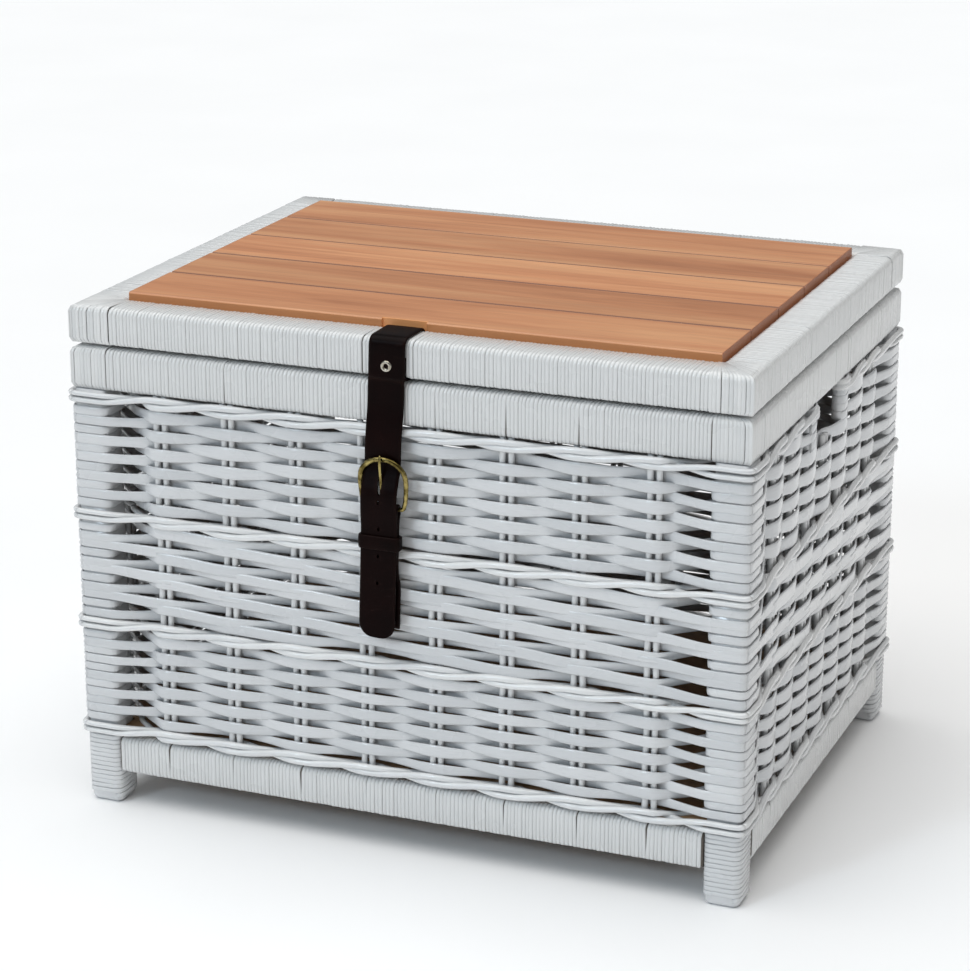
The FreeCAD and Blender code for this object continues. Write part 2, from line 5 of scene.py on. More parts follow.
import bmesh
import bpy
import numpy as np
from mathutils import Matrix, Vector

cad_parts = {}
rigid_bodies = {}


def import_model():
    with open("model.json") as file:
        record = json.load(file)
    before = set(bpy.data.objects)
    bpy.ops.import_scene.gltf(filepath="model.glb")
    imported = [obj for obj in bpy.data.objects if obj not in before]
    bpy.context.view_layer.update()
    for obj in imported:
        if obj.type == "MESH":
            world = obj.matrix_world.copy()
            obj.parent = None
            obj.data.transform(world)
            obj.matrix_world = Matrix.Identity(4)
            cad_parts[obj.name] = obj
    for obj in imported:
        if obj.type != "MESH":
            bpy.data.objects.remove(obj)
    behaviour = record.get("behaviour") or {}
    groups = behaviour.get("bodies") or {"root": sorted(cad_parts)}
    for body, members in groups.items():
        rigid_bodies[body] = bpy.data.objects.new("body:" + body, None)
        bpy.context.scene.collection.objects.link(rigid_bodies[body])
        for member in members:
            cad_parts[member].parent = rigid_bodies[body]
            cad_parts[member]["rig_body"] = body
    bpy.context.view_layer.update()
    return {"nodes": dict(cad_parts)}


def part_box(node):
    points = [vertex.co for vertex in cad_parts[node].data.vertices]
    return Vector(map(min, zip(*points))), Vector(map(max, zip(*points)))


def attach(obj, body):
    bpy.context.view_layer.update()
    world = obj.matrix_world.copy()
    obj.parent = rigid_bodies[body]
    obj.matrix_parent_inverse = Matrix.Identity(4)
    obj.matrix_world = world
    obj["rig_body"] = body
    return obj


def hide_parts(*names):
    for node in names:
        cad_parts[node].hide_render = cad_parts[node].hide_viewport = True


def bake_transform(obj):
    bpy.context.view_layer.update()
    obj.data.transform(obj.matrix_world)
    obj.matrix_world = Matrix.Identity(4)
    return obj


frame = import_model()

MM = 0.001
rng = random.Random(41)


def box(node):
    """Lowest and highest corner of a CAD node, in millimetres."""
    low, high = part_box(node)
    return np.array(low) / MM, np.array(high) / MM


def add_object(name, data):
    """A new object in the scene."""
    made = bpy.data.objects.new(name, data)
    bpy.context.scene.collection.objects.link(made)
    return made


def aim(thing, towards):
    """Turns a camera or a light to face along a direction."""
    thing.rotation_mode = "QUATERNION"
    thing.rotation_quaternion = Vector(towards).to_track_quat("-Z", "Y")


# ---------------------------------------------------------------- camera, floor and light

CAMERA_AT = Vector((0.91974, -2.32731, 1.07135))
CAMERA_TOWARDS = Vector((-0.35455, 0.88250, -0.30901))
CAMERA_LENS = 109.47
FLOOR_HALF = 14.0


def make_camera():
    data = bpy.data.cameras.new("view")
    data.lens = CAMERA_LENS
    data.sensor_width = 36.0
    data.clip_end = 100.0
    camera = add_object("view", data)
    camera.location = CAMERA_AT
    aim(camera, CAMERA_TOWARDS)
    bpy.context.scene.camera = camera


def sun(name, towards, strength, spread, colour):
    """A wide soft light from far off, so that the floor has one brightness all over."""
    data = bpy.data.lights.new(name, "SUN")
    data.energy = strength
    data.angle = math.radians(spread)
    data.color = colour
    aim(add_object(name, data), towards)


def make_lights():
    sun("top_light", (0.12, 0.10, -1.0), 2.38, 70.0, (1.0, 0.995, 0.98))
    sun("front_light", (0.42, 0.85, -0.55), 0.24, 40.0, (0.62, 0.83, 1.0))
    sun("glint_light", (0.40, 0.80, -0.50), 0.40, 8.0, (0.74, 0.88, 1.0))
    sun("side_light", (-0.9, 0.25, -0.5), 0.12, 60.0, (1.0, 0.97, 0.90))
    world = bpy.data.worlds.new("studio")
    world.use_nodes = True
    sky = world.node_tree.nodes["Background"]
    sky.inputs["Color"].default_value = (0.95, 0.97, 1.0, 1.0)
    sky.inputs["Strength"].default_value = 0.22
    bpy.context.scene.world = world
    bpy.context.scene.view_settings.view_transform = "Standard"
    bpy.context.scene.view_settings.look = "None"


# ---------------------------------------------------------------- materials


class Shader:
    """A material with a Principled surface, and short ways to add and join its nodes."""

    def __init__(self, name, roughness, metallic=0.0, coat=0.0, coat_roughness=0.15):
        self.material = bpy.data.materials.new(name)
        self.material.use_nodes = True
        self.tree = self.material.node_tree
        self.surface = self.tree.nodes["Principled BSDF"]
        self.surface.inputs["Roughness"].default_value = roughness
        self.surface.inputs["Metallic"].default_value = metallic
        self.surface.inputs["Coat Weight"].default_value = coat
        self.surface.inputs["Coat Roughness"].default_value = coat_roughness

    def add(self, kind, inputs=(), **settings):
        node = self.tree.nodes.new("ShaderNode" + kind)
        for key, value in settings.items():
            setattr(node, key, value)
        for key, value in dict(inputs).items():
            self.put(value, node.inputs[key])
        return node

    def put(self, value, socket):
        if isinstance(value, bpy.types.NodeSocket):
            self.tree.links.new(value, socket)
        else:
            socket.default_value = value

    def place(self):
        return self.add("TexCoord").outputs["Object"]

    def stretched(self, source, scale, offset=(0.0, 0.0, 0.0)):
        inputs = {"Vector": source, "Scale": scale, "Location": offset}
        return self.add("Mapping", inputs).outputs["Vector"]

    def noise(self, source, scale, detail=3.0, roughness=0.55, distortion=0.0):
        inputs = {"Vector": source, "Scale": scale, "Detail": detail}
        inputs.update({"Roughness": roughness, "Distortion": distortion})
        return self.add("TexNoise", inputs).outputs["Fac"]

    def ramp(self, value, stops):
        node = self.add("ValToRGB", {"Fac": value})
        ramp = node.color_ramp
        while len(ramp.elements) < len(stops):
            ramp.elements.new(0.5)
        for element, (place, colour) in zip(ramp.elements, stops):
            element.position = place
            element.color = (*colour, 1.0) if isinstance(colour, tuple) else (colour,) * 3 + (1.0,)
        return node.outputs["Color"]

    def mix(self, share, a, b, blend="MIX"):
        node = self.add("Mix", data_type="RGBA", blend_type=blend)
        for socket, value in ((0, share), (6, a), (7, b)):
            self.put((*value, 1.0) if isinstance(value, tuple) else value, node.inputs[socket])
        return node.outputs[2]

    def maths(self, kind, *values):
        node = self.add("Math", operation=kind)
        for k, value in enumerate(values):
            self.put(value, node.inputs[k])
        return node.outputs["Value"]

    def bump(self, height, strength, depth, before=None):
        inputs = {"Height": height, "Strength": strength, "Distance": depth}
        if before is not None:
            inputs["Normal"] = before
        return self.add("Bump", inputs).outputs["Normal"]

    def finish(self, **sockets):
        names = {"colour": "Base Color", "roughness": "Roughness", "normal": "Normal"}
        for key, value in sockets.items():
            self.put(value, self.surface.inputs[names[key]])
        return self.material


def paint_material(name, white, shade, bare, roughness):
    """Glossy enamel on cane: tone changes strand by strand, and the inner side has a thin dull coat."""
    s = Shader(name, roughness, coat=0.6, coat_roughness=0.10)
    place = s.place()
    along = s.stretched(s.add("UVMap", uv_map="Strand").outputs["UV"], (9.0, 3.0, 1.0))
    tone = s.add("Attribute", attribute_name="tone").outputs["Fac"]
    inner = s.add("Attribute", attribute_name="inner").outputs["Fac"]
    grain = s.noise(along, 9.0, 4.0, 0.6)
    patches = s.noise(place, 14.0, 3.0)
    share = s.maths("ADD", s.maths("MULTIPLY", tone, 0.55), s.maths("MULTIPLY", patches, 0.45))
    coat = s.mix(share, white, shade)
    coat = s.mix(s.ramp(grain, [(0.25, 0.22), (0.5, 0.0)]), coat, tuple(0.72 * c for c in shade))
    thin = s.mix(grain, bare, tuple(0.45 * c for c in bare))
    colour = s.mix(inner, coat, thin)
    sheen = s.maths("ADD", s.maths("MULTIPLY", patches, 0.22), roughness - 0.10)
    rough = s.maths("ADD", sheen, s.maths("MULTIPLY", inner, 0.35))
    normal = s.bump(s.noise(place, 160.0, 2.0), 0.25, 0.0009)
    normal = s.bump(grain, 0.35, 0.0007, normal)
    return s.finish(colour=colour, roughness=rough, normal=normal)


def wood_material(name, seed, light, middle, dark, stripes, roughness=0.42, edges=None):
    """Straight-grained board wood, with fibres, growth bands and a few darker streaks."""
    s = Shader(name, roughness, coat=0.08, coat_roughness=0.3)
    shift = (seed * 1.37, seed * 0.71, seed * 2.3)
    place = s.stretched(s.place(), (1.0, 1.0, 1.0), shift)
    slow, fast = (0.55, 7.0, 7.0), (1.6, 95.0, 95.0)
    bend = s.noise(s.stretched(place, slow), 1.6, 2.0, 0.5)
    bands = s.noise(s.stretched(place, slow), stripes, 5.0, 0.62, 0.6)
    fibres = s.noise(s.stretched(place, fast), 3.2, 4.0, 0.7)
    pores = s.noise(s.stretched(place, tuple(3.0 * c for c in fast)), 4.0, 2.0, 0.6)
    base = s.ramp(bands, [(0.28, dark), (0.46, middle), (0.62, light), (0.80, middle)])
    base = s.mix(s.maths("MULTIPLY", bend, 0.45), base, middle)
    tint = s.ramp(fibres, [(0.30, 0.70), (0.62, 1.0)])
    colour = s.mix(0.55, base, tint, "MULTIPLY")
    specks = s.ramp(pores, [(0.30, 0.62), (0.40, 1.0)])
    colour = s.mix(0.6, colour, specks, "MULTIPLY")
    if edges:
        colour = edges(s, colour)
    rough = s.maths("ADD", s.maths("MULTIPLY", fibres, 0.2), roughness - 0.1)
    normal = s.bump(fibres, 0.3, 0.0005, s.bump(bands, 0.15, 0.0008))
    return s.finish(colour=colour, roughness=rough, normal=normal)


def leather_material(name):
    s = Shader(name, 0.36)
    s.surface.inputs["Specular IOR Level"].default_value = 0.05
    place = s.place()
    cells = s.add("TexVoronoi", {"Vector": place, "Scale": 620.0}, feature="DISTANCE_TO_EDGE")
    creases = s.noise(s.stretched(place, (1.0, 1.0, 2.6)), 55.0, 5.0, 0.65, 0.5)
    wear = s.noise(place, 26.0, 3.0)
    colour = s.ramp(wear, [(0.3, (0.0014, 0.0003, 0.0003)), (0.75, (0.0065, 0.0013, 0.0011))])
    colour = s.mix(s.ramp(creases, [(0.60, 0.0), (0.80, 0.5)]), colour, (0.016, 0.007, 0.005))
    edge = s.add("NewGeometry").outputs["Pointiness"]
    colour = s.mix(s.ramp(edge, [(0.52, 0.0), (0.60, 0.35)]), colour, (0.034, 0.016, 0.012))
    rough = s.maths("ADD", s.maths("MULTIPLY", wear, 0.25), 0.26)
    normal = s.bump(cells.outputs["Distance"], 0.25, 0.0004)
    normal = s.bump(creases, 0.22, 0.0008, normal)
    return s.finish(colour=colour, roughness=rough, normal=normal)


def metal_material(name, bright, tarnish, roughness):
    s = Shader(name, roughness, metallic=1.0)
    place = s.place()
    cloud = s.noise(place, 150.0, 4.0, 0.6)
    fine = s.noise(place, 900.0, 2.0)
    colour = s.ramp(cloud, [(0.38, tarnish), (0.62, bright)])
    rough = s.maths("ADD", s.maths("MULTIPLY", cloud, 0.25), roughness - 0.1)
    normal = s.bump(fine, 0.12, 0.0002, s.bump(cloud, 0.2, 0.0004))
    return s.finish(colour=colour, roughness=rough, normal=normal)


def floor_material():
    s = Shader("studio_floor", 0.75)
    speck = s.noise(s.place(), 3.0, 2.0)
    colour = s.ramp(speck, [(0.3, 0.95), (0.7, 0.97)])
    return s.finish(colour=colour)


# ---------------------------------------------------------------- swept strands


def spline(points, step, closed=False):
    """Points along a smooth curve through the given rows; columns after the third ride along."""
    p = np.asarray(points, float)
    if closed:
        p = np.vstack([p[-1:], p, p[:2]])
    else:
        p = np.vstack([2 * p[:1] - p[1:2], p, 2 * p[-1:] - p[-2:-1]])
    gap = np.linalg.norm(np.diff(p[:, :3], axis=0), axis=1)[:, None] + 1e-9
    slope = np.diff(p, axis=0) / gap
    tangent = (slope[:-1] * gap[1:] + slope[1:] * gap[:-1]) / (gap[:-1] + gap[1:])
    runs = []
    for k in range(len(tangent) - 1):
        h = gap[k + 1, 0]
        t = (np.arange(max(1, math.ceil(h / step))) / max(1, math.ceil(h / step)))[:, None]
        a, b = p[k + 1], p[k + 2]
        ma, mb = tangent[k] * h, tangent[k + 1] * h
        t2, t3 = t * t, t * t * t
        runs.append((2 * t3 - 3 * t2 + 1) * a + (t3 - 2 * t2 + t) * ma
                    + (3 * t2 - 2 * t3) * b + (t3 - t2) * mb)
    if not closed:
        runs.append(p[-2:-1])
    return np.vstack(runs)


def unit(v):
    return v / (np.linalg.norm(v, axis=-1, keepdims=True) + 1e-12)


def direction(path, closed=False):
    """The way along a path at each of its points."""
    if closed:
        return unit(np.roll(path, -1, 0) - np.roll(path, 1, 0))
    return unit(np.gradient(path, axis=0))


def right_of(path, closed=False):
    """The level way to the right of a path at each of its points."""
    tangent = direction(path, closed)
    return np.stack([tangent[:, 1], -tangent[:, 0], 0 * tangent[:, 0]], 1)


CANE = np.array([(1, 0), (0.93, 0.55), (0.6, 0.93), (0, 1), (-0.6, 0.93), (-0.93, 0.55),
                 (-1, 0), (-0.93, -0.55), (-0.6, -0.93), (0, -1), (0.6, -0.93), (0.93, -0.55)], float)
OVAL = np.array([(1, 0), (0.82, 0.62), (0.35, 0.96), (-0.35, 0.96), (-0.82, 0.62),
                 (-1, 0), (-0.75, -0.9), (0.75, -0.9)], float)
ROUND = np.array([(math.cos(a), math.sin(a)) for a in np.arange(9) * math.tau / 9])


class Strands:
    """Many swept strands gathered into one mesh."""

    def __init__(self):
        self.points, self.quads, self.caps, self.uvs = [], [], [], []
        self.tone, self.inner = [], []
        self.count = 0

    def sweep(self, path, out, wide, thick, shape, closed=False, groove=0.0, bare=0.0):
        """One strand. wide and thick are half sizes; bare is how thin its inner side's paint is."""
        n, m = len(path), len(shape)
        tangent = direction(path, closed)
        out = unit(out - (out * tangent).sum(1)[:, None] * tangent)
        across = np.cross(out, tangent)
        b = shape[:, 0][None, :] * np.broadcast_to(wide, n)[:, None]
        dip = 1 - groove * np.exp(-(shape[:, 0] / 0.3) ** 2)
        o = (shape[:, 1] * dip)[None, :] * np.broadcast_to(thick, n)[:, None]
        verts = path[:, None] + across[:, None] * b[..., None] + out[:, None] * o[..., None]
        rows = n if closed else n - 1
        i = np.arange(rows)[:, None]
        j = np.arange(m)[None, :]
        i2, j2 = (i + 1) % n, (j + 1) % m
        quads = np.stack([i * m + j, i * m + j2, i2 * m + j2, i2 * m + j], -1).reshape(-1, 4)
        step = np.linalg.norm(np.diff(path, axis=0, append=path[:1]), axis=1)
        u = np.concatenate([[0.0], np.cumsum(step)]) * MM + rng.uniform(0, 40)
        ua = np.broadcast_to(u[:-1][:rows, None], (rows, m))
        ub = np.broadcast_to(u[1:][:rows, None], (rows, m))
        va = np.broadcast_to(j / m, (rows, m))
        vb = np.broadcast_to((j + 1) / m, (rows, m))
        uv = np.stack([np.stack([ua, va], -1), np.stack([ua, vb], -1),
                       np.stack([ub, vb], -1), np.stack([ub, va], -1)], 2).reshape(-1, 2)
        self.points.append(verts.reshape(-1, 3))
        self.quads.append(quads + self.count)
        self.uvs.append(uv)
        self.tone.append(np.full(n * m, rng.random()))
        self.inner.append(np.tile(np.where(shape[:, 1] < -0.4, bare, 0.0), n))
        if not closed:
            self.caps.append(np.arange(m)[::-1] + self.count)
            self.caps.append(np.arange(m) + self.count + (n - 1) * m)
        self.count += n * m

    def join(self, other):
        """Takes in all the strands of another bundle."""
        for key in ("points", "uvs", "tone", "inner"):
            getattr(self, key).extend(getattr(other, key))
        self.quads.extend(q + self.count for q in other.quads)
        self.caps.extend(c + self.count for c in other.caps)
        self.count += other.count

    def build(self, name, material, body, *nodes, slot=None):
        quads = np.vstack(self.quads)
        sizes = np.concatenate([np.full(len(quads), 4), [len(c) for c in self.caps]]).astype(np.int32)
        loops = np.concatenate([quads.ravel()] + self.caps).astype(np.int32)
        starts = np.concatenate([[0], np.cumsum(sizes)[:-1]]).astype(np.int32)
        mesh = bpy.data.meshes.new(name)
        mesh.vertices.add(self.count)
        mesh.vertices.foreach_set("co", (np.vstack(self.points) * MM).astype(np.float32).ravel())
        mesh.loops.add(len(loops))
        mesh.loops.foreach_set("vertex_index", loops)
        mesh.polygons.add(len(sizes))
        mesh.polygons.foreach_set("loop_start", starts)
        uv = np.zeros((len(loops), 2), np.float32)
        uv[:quads.size] = np.vstack(self.uvs)
        mesh.uv_layers.new(name="Strand").data.foreach_set("uv", uv.ravel())
        for key, values in (("tone", self.tone), ("inner", self.inner)):
            data = mesh.attributes.new(key, "FLOAT", "POINT").data
            data.foreach_set("value", np.concatenate(values).astype(np.float32))
        mesh.update(calc_edges=True)
        mesh.shade_smooth()
        mesh.validate()
        return settle(name, mesh, material, body, nodes)


def settle(name, mesh, material, body, nodes=()):
    """Puts a finished mesh in the scene, on its body, in place of the CAD nodes it stands for."""
    piece = add_object(name, mesh)
    mesh.materials.clear()
    mesh.materials.append(material)
    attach(piece, body)
    if nodes:
        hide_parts(*nodes)
    return piece


# ---------------------------------------------------------------- the walls


class Wall:
    """One side, seen from outside: s runs along it to the right, n out of it from the stakes."""

    def __init__(self, name, along, out, line, reach, stakes):
        self.name, self.line, self.reach, self.stakes = name, line, reach, stakes
        self.along, self.out = np.array(along, float), np.array(out, float)

    def at(self, s, n, z):
        x, y = self.along * s + self.out * (self.line + n)
        return [x, y, z]


POST_LOW, POST_HIGH = box("post_front_right")
POST_OUT = POST_HIGH[0]
POST_IN = POST_LOW[0]
POST_OUT_Y = -POST_LOW[1]
POST_THICK = POST_OUT - POST_IN
STAKE_LOW, STAKE_HIGH = box("stakes_front_back")
SIDE_STAKE_LOW, SIDE_STAKE_HIGH = box("stakes_sides")
PAIR_HALF = 6.6
STAKE_RADIUS = 2.8
PAIR_OFFSET = PAIR_HALF - STAKE_RADIUS
LINE_Y = STAKE_HIGH[1] - STAKE_RADIUS
LINE_X = SIDE_STAKE_HIGH[0] - STAKE_RADIUS
FRONT_STAKES = np.linspace(STAKE_LOW[0] + PAIR_HALF, STAKE_HIGH[0] - PAIR_HALF, 8)
SIDE_STAKES = np.linspace(SIDE_STAKE_LOW[1] + PAIR_HALF, SIDE_STAKE_HIGH[1] - PAIR_HALF, 7)
WALLS = [
    Wall("left", (0, -1), (-1, 0), LINE_X, POST_OUT_Y, SIDE_STAKES),
    Wall("front", (1, 0), (0, -1), LINE_Y, POST_OUT, FRONT_STAKES),
    Wall("right", (0, 1), (1, 0), LINE_X, POST_OUT_Y, SIDE_STAKES),
    Wall("back", (-1, 0), (0, 1), LINE_Y, POST_OUT, FRONT_STAKES),
]
POST_FACE = POST_OUT - LINE_X
STATIONS = [(w, s) for w, wall in enumerate(WALLS) for s in [None, *wall.stakes]]
SIDE_COUNT = len(SIDE_STAKES)
LEFT_REAR, LEFT_FORE = SIDE_COUNT // 2, SIDE_COUNT // 2 + 2
RIGHT_FORE = LEFT_FORE + SIDE_COUNT + len(FRONT_STAKES)
RIGHT_REAR = RIGHT_FORE + 2
HANDLE_PITCH = 7.2
CORNER_ROUND = 6.0
HOLD = 5.5

# A strand's width against its usual one: inside a post, outside it, where it changes sides, and past
# the stakes of the two side walls.
PINCH, POST_FIT, CROSSING, SIDE_FILL = 0.72, 0.80, 0.79, 1.22
SIDE_WALLS = (0, 2)


def corner(station, inside, half, z, wide):
    """Control points of a strand round a corner post, outside it or through the inside."""
    w = STATIONS[station][0]
    before, after = WALLS[w - 1], WALLS[w]
    edge_a, edge_b = before.reach - POST_THICK, after.reach - POST_THICK
    if inside:
        deep = POST_FACE - POST_THICK
        nook = 1.2 + half
        rows = [before.at(edge_a - 24, deep + 17, z), before.at(edge_a - 9, deep + 3.5, z),
                before.at(edge_a - nook, deep - nook, z),
                after.at(9 - edge_b, deep + 3.5, z), after.at(24 - edge_b, deep + 17, z)]
        return [row + [wide * PINCH] for row in rows]
    n = POST_FACE + half + 0.3
    rows = [before.at(edge_a + 1, n, z), before.at(edge_a + 14, n, z)]
    a = np.array(before.at(before.reach + half - CORNER_ROUND, n, z)[:2])
    centre = a - before.out * CORNER_ROUND
    for turn in (0.0, 0.25, 0.5, 0.75, 1.0):
        angle = turn * math.pi / 2
        arm = before.out * math.cos(angle) + before.along * math.sin(angle)
        rows.append([*(centre + arm * CORNER_ROUND), z])
    rows += [after.at(-edge_b - 14, n, z), after.at(-edge_b - 1, n, z)]
    return [row + [wide * POST_FIT] for row in rows]


def pass_stake(station, inside, half, z, wide):
    w, s = STATIONS[station]
    n = (STAKE_RADIUS + half) * (-1 if inside else 1)
    if w in SIDE_WALLS and half == CANE_HALF:
        wide *= SIDE_FILL
    return [WALLS[w].at(s - HOLD, n, z) + [wide], WALLS[w].at(s + HOLD, n, z) + [wide]]


def hook(station, inside, half, z, wide, starts):
    """Control points of a strand's end, turned round the pair of stakes at a handle."""
    w, s = STATIONS[station]
    side = -1 if inside else 1
    sign = -1 if starts else 1
    n = (STAKE_RADIUS + half) * side
    bulge = PAIR_HALF + half
    rows = [(s + sign * 2, n), (s + sign * (bulge - 0.6), n * 0.6), (s + sign * (bulge + 0.3), 0.0),
            (s + sign * (bulge - 0.6), -n * 0.6), (s + sign * 2, -n), (s - sign * 9, -n * 0.92)]
    if starts:
        rows.reverse()
    return [WALLS[w].at(a, b, z) + [wide * 0.9] for a, b in rows]


def ring_rows(order, state, half, level, wide, starts=False, ends=False):
    """Control rows of one strand past the stations in order."""
    rows = []
    last = None
    for k, station in enumerate(order):
        inside = state(station) == 0
        z = level(station)
        first, final = starts and k == 0, ends and k == len(order) - 1
        if first or final:
            part = hook(station, inside, half, z, wide, first)
        elif STATIONS[station][1] is None:
            part = corner(station, inside, half, z, wide)
        else:
            part = pass_stake(station, inside, half, z, wide)
        if last is not None and last != inside:
            middle = (np.array(rows[-1]) + np.array(part[0])) / 2
            middle[3] = CROSSING * max(rows[-1][3], part[0][3])
            rows.append(list(middle))
        rows += part
        last = inside
    return rows


def wall_of(path):
    """Index of the wall each point belongs to; the walls meet on the posts' diagonals."""
    x, y = path[:, 0], path[:, 1]
    spare = POST_OUT - POST_OUT_Y
    return np.select([-y > abs(x) - spare, y > abs(x) - spare, x > 0], [1, 3, 2], 0)


def share_out(bundles, path, closed, **sweep):
    """Sweeps one strand, cut where it passes from one wall to the next."""
    owner = wall_of(path[:, :3])
    changes = np.nonzero(owner != np.roll(owner, 1))[0]
    if closed and len(changes):
        path = np.roll(path, -changes[0], 0)
        owner = np.roll(owner, -changes[0])
        path = np.vstack([path, path[:1]])
        owner = np.append(owner, -1)
    start = 0
    for k in range(1, len(path) + 1):
        if k == len(path) or owner[k] != owner[start]:
            part = path[start:min(k + 1, len(path))]
            if len(part) > 2:
                line = part[:, :3]
                bundles[owner[start]].sweep(line, right_of(line), part[:, 3], **sweep)
            start = k


LOOP = list(range(len(STATIONS)))
FORE_PART = list(range(LEFT_FORE, RIGHT_FORE + 1))
REAR_PART = list(range(RIGHT_REAR, len(STATIONS))) + list(range(0, LEFT_REAR + 1))
HANDLE_SILL = 341.0


def lay_strand(bundles, state, half, level, wide, z, step, **sweep):
    """One strand all the way round, or two hooked at the handles if it is at their height."""
    if z < HANDLE_SILL:
        rows = ring_rows(LOOP, state, half, level, wide)
        share_out(bundles, spline(rows, step, True), True, **sweep)
        return
    for part in (FORE_PART, REAR_PART):
        rows = ring_rows(part, state, half, level, wide, True, True)
        share_out(bundles, spline(rows, step), False, **sweep)


def jitter(amount):
    values = [rng.gauss(0, amount) for _ in STATIONS]
    return lambda k: max(-2 * amount, min(2 * amount, values[k]))


CANE_HALF = 1.35
WEAVE_PITCH = 7.9
SLANT = 1.2


def weave_band(bundles, wraps, low, high, cycle):
    """Rows of flat cane between two levels; cycle 2 is plain weave and 3 goes over two."""
    count = round((high - low) / WEAVE_PITCH)
    pitch = (high - low) / count
    for row in range(count):
        z = low + (row + 0.5) * pitch
        wobble = jitter(0.45)

        def state(k, row=row):
            return (k + row) % cycle

        def level(k, z=z, wobble=wobble, state=state):
            lean = {0: 0.0, 1: SLANT, 2: -SLANT}[state(k)] if cycle == 3 else 0.0
            return z + lean + wobble(k)

        wide = pitch * rng.uniform(0.61, 0.72)
        groove = rng.choice([0.0, 0.12, 0.45, 0.7])
        thick = CANE_HALF * rng.uniform(0.85, 1.05)
        lay_strand(bundles, state, CANE_HALF, level, wide, z, 7.0,
                   thick=thick, shape=CANE, groove=groove, bare=1.0)
        for station, (w, s) in enumerate(STATIONS):
            if s is None and state(station) == 0:
                wraps.append((w, z, pitch * rng.uniform(0.44, 0.48)))


WALE_RADIUS = 2.85
WALE_RISE = 2.8
TOP_WALE_LIFT = 1.3
WALE_LABELS = ("bottom", "lower", "upper", "top")


def wale_band(bundles, low, high, rise=0.0):
    """Three rods, each over two stakes and behind one, rising as they come forward."""
    z = (low + high) / 2 + rise
    for rod in range(3):
        wobble = jitter(0.3)

        def state(k, rod=rod):
            return (k + rod) % 3

        def level(k, state=state, wobble=wobble):
            return z + {0: 0.0, 1: -WALE_RISE, 2: WALE_RISE}[state(k)] + wobble(k)

        radius = WALE_RADIUS * rng.uniform(0.93, 1.03)
        lay_strand(bundles, state, WALE_RADIUS, level, radius / 0.97, z, 6.0,
                   thick=radius, shape=ROUND, bare=0.4)


def turn_points():
    """A turn round a square: how many corners are past, the corner's two signs, and the way out there."""
    for k, (ca, cb) in enumerate(((1, -1), (1, 1), (-1, 1), (-1, -1))):
        for t in (0.0, 0.5, 1.0):
            angle = math.atan2(cb, ca) + (t - 0.5) * math.pi / 2
            yield k + t, ca, cb, math.cos(angle), math.sin(angle)


def post_turn(bundle, wall_index, z, wide, half=CANE_HALF, closed=True, count=1, pitch=0.0):
    """Turns of cane round a corner post; several make one helix, rising by pitch a turn."""
    before, after = WALLS[wall_index - 1], WALLS[wall_index]
    middle = (np.array(before.at(before.reach - POST_THICK / 2, 0, 0)[:2]) * abs(before.along)
              + np.array(after.at(POST_THICK / 2 - after.reach, 0, 0)[:2]) * abs(after.along))
    reach = POST_THICK / 2 + half + 0.2
    rows, outs = [], []
    for turn in range(count):
        base = z + turn * pitch + rng.gauss(0, 0.15)
        for passed, cx, cy, a, b in turn_points():
            arm = np.array([a, b])
            place = middle + np.array([cx, cy]) * (reach - CORNER_ROUND) + arm * CORNER_ROUND
            rows.append([*place, base + pitch * passed / 4])
            outs.append([*arm, 0.0])
    bundle.sweep(np.array(rows), np.array(outs), wide, half, CANE, closed=closed,
                 groove=rng.choice([0.0, 0.15, 0.5]), bare=0.0)


def corner_name(wall_index):
    names = {WALLS[wall_index - 1].name, WALLS[wall_index].name}
    depth = "front" if "front" in names else "back"
    return depth + "_" + ("left" if "left" in names else "right")


def make_walls(paint, rod_paint):
    """The woven walls and the wales; gives back the turns that the corner posts still need."""
    weave = [Strands() for _ in WALLS]
    wraps = []
    levels = [box("wale_" + label) for label in WALE_LABELS]
    spans = [(levels[k][1][2], levels[k + 1][0][2]) for k in range(3)]
    for (low, high), cycle in zip(spans, (2, 3, 2)):
        weave_band(weave, wraps, low, high, cycle)
    for wall, bundle in zip(WALLS, weave):
        name = "weave_" + wall.name
        bundle.build("cane_" + name, paint, "root", name, slot="painted_weave")
    for label, (low, high) in zip(WALE_LABELS, levels):
        rods = [Strands() for _ in WALLS]
        wale_band(rods, low[2], high[2], TOP_WALE_LIFT if label == "top" else 0.0)
        whole, *others = rods
        for part in others:
            whole.join(part)
        whole.build("rods_wale_" + label, rod_paint, "root", "wale_" + label, slot="painted_wale")
    return wraps


def make_posts(paint, wraps):
    """Rounded corner posts, the turns laid round them between the rows, and the feet's turns."""
    foot_low, foot_high = box("foot_bindings")
    feet = Strands()
    for w in range(4):
        name = corner_name(w)
        low, high = box("post_" + name)
        core = Strands()
        inset = [(0.0, 4.0), (0.6, 2.2), (2.0, 0.8), (4.5, 0.0), (high[2] - low[2], 0.0)]
        middle = (low + high) / 2
        half = (high - low) / 2
        shape = rounded_outline(half[0], half[1], 5.0)
        rows = np.array([[middle[0], middle[1], low[2] + z] for z, _ in inset])
        sizes = np.array([1 - cut / half[0] for _, cut in inset])
        out = np.tile([0.0, 1.0, 0.0], (len(rows), 1))
        core.sweep(rows, out, sizes, sizes, shape)
        core.build("post_core_" + name, paint, "root", "post_" + name, slot="frame_wood")
        turns = Strands()
        for at, z, wide in wraps:
            if at == w:
                post_turn(turns, w, z, wide)
        turns.build("post_turns_" + name, paint, "root", slot="painted_weave")
        pitch = 4.2
        count = int((foot_high[2] - foot_low[2]) / pitch)
        post_turn(feet, w, foot_low[2] + 2.0, 2.0, half=0.75, closed=False, count=count, pitch=pitch)
    feet.build("foot_turns", paint, "root", "foot_bindings", slot="painted_cane")


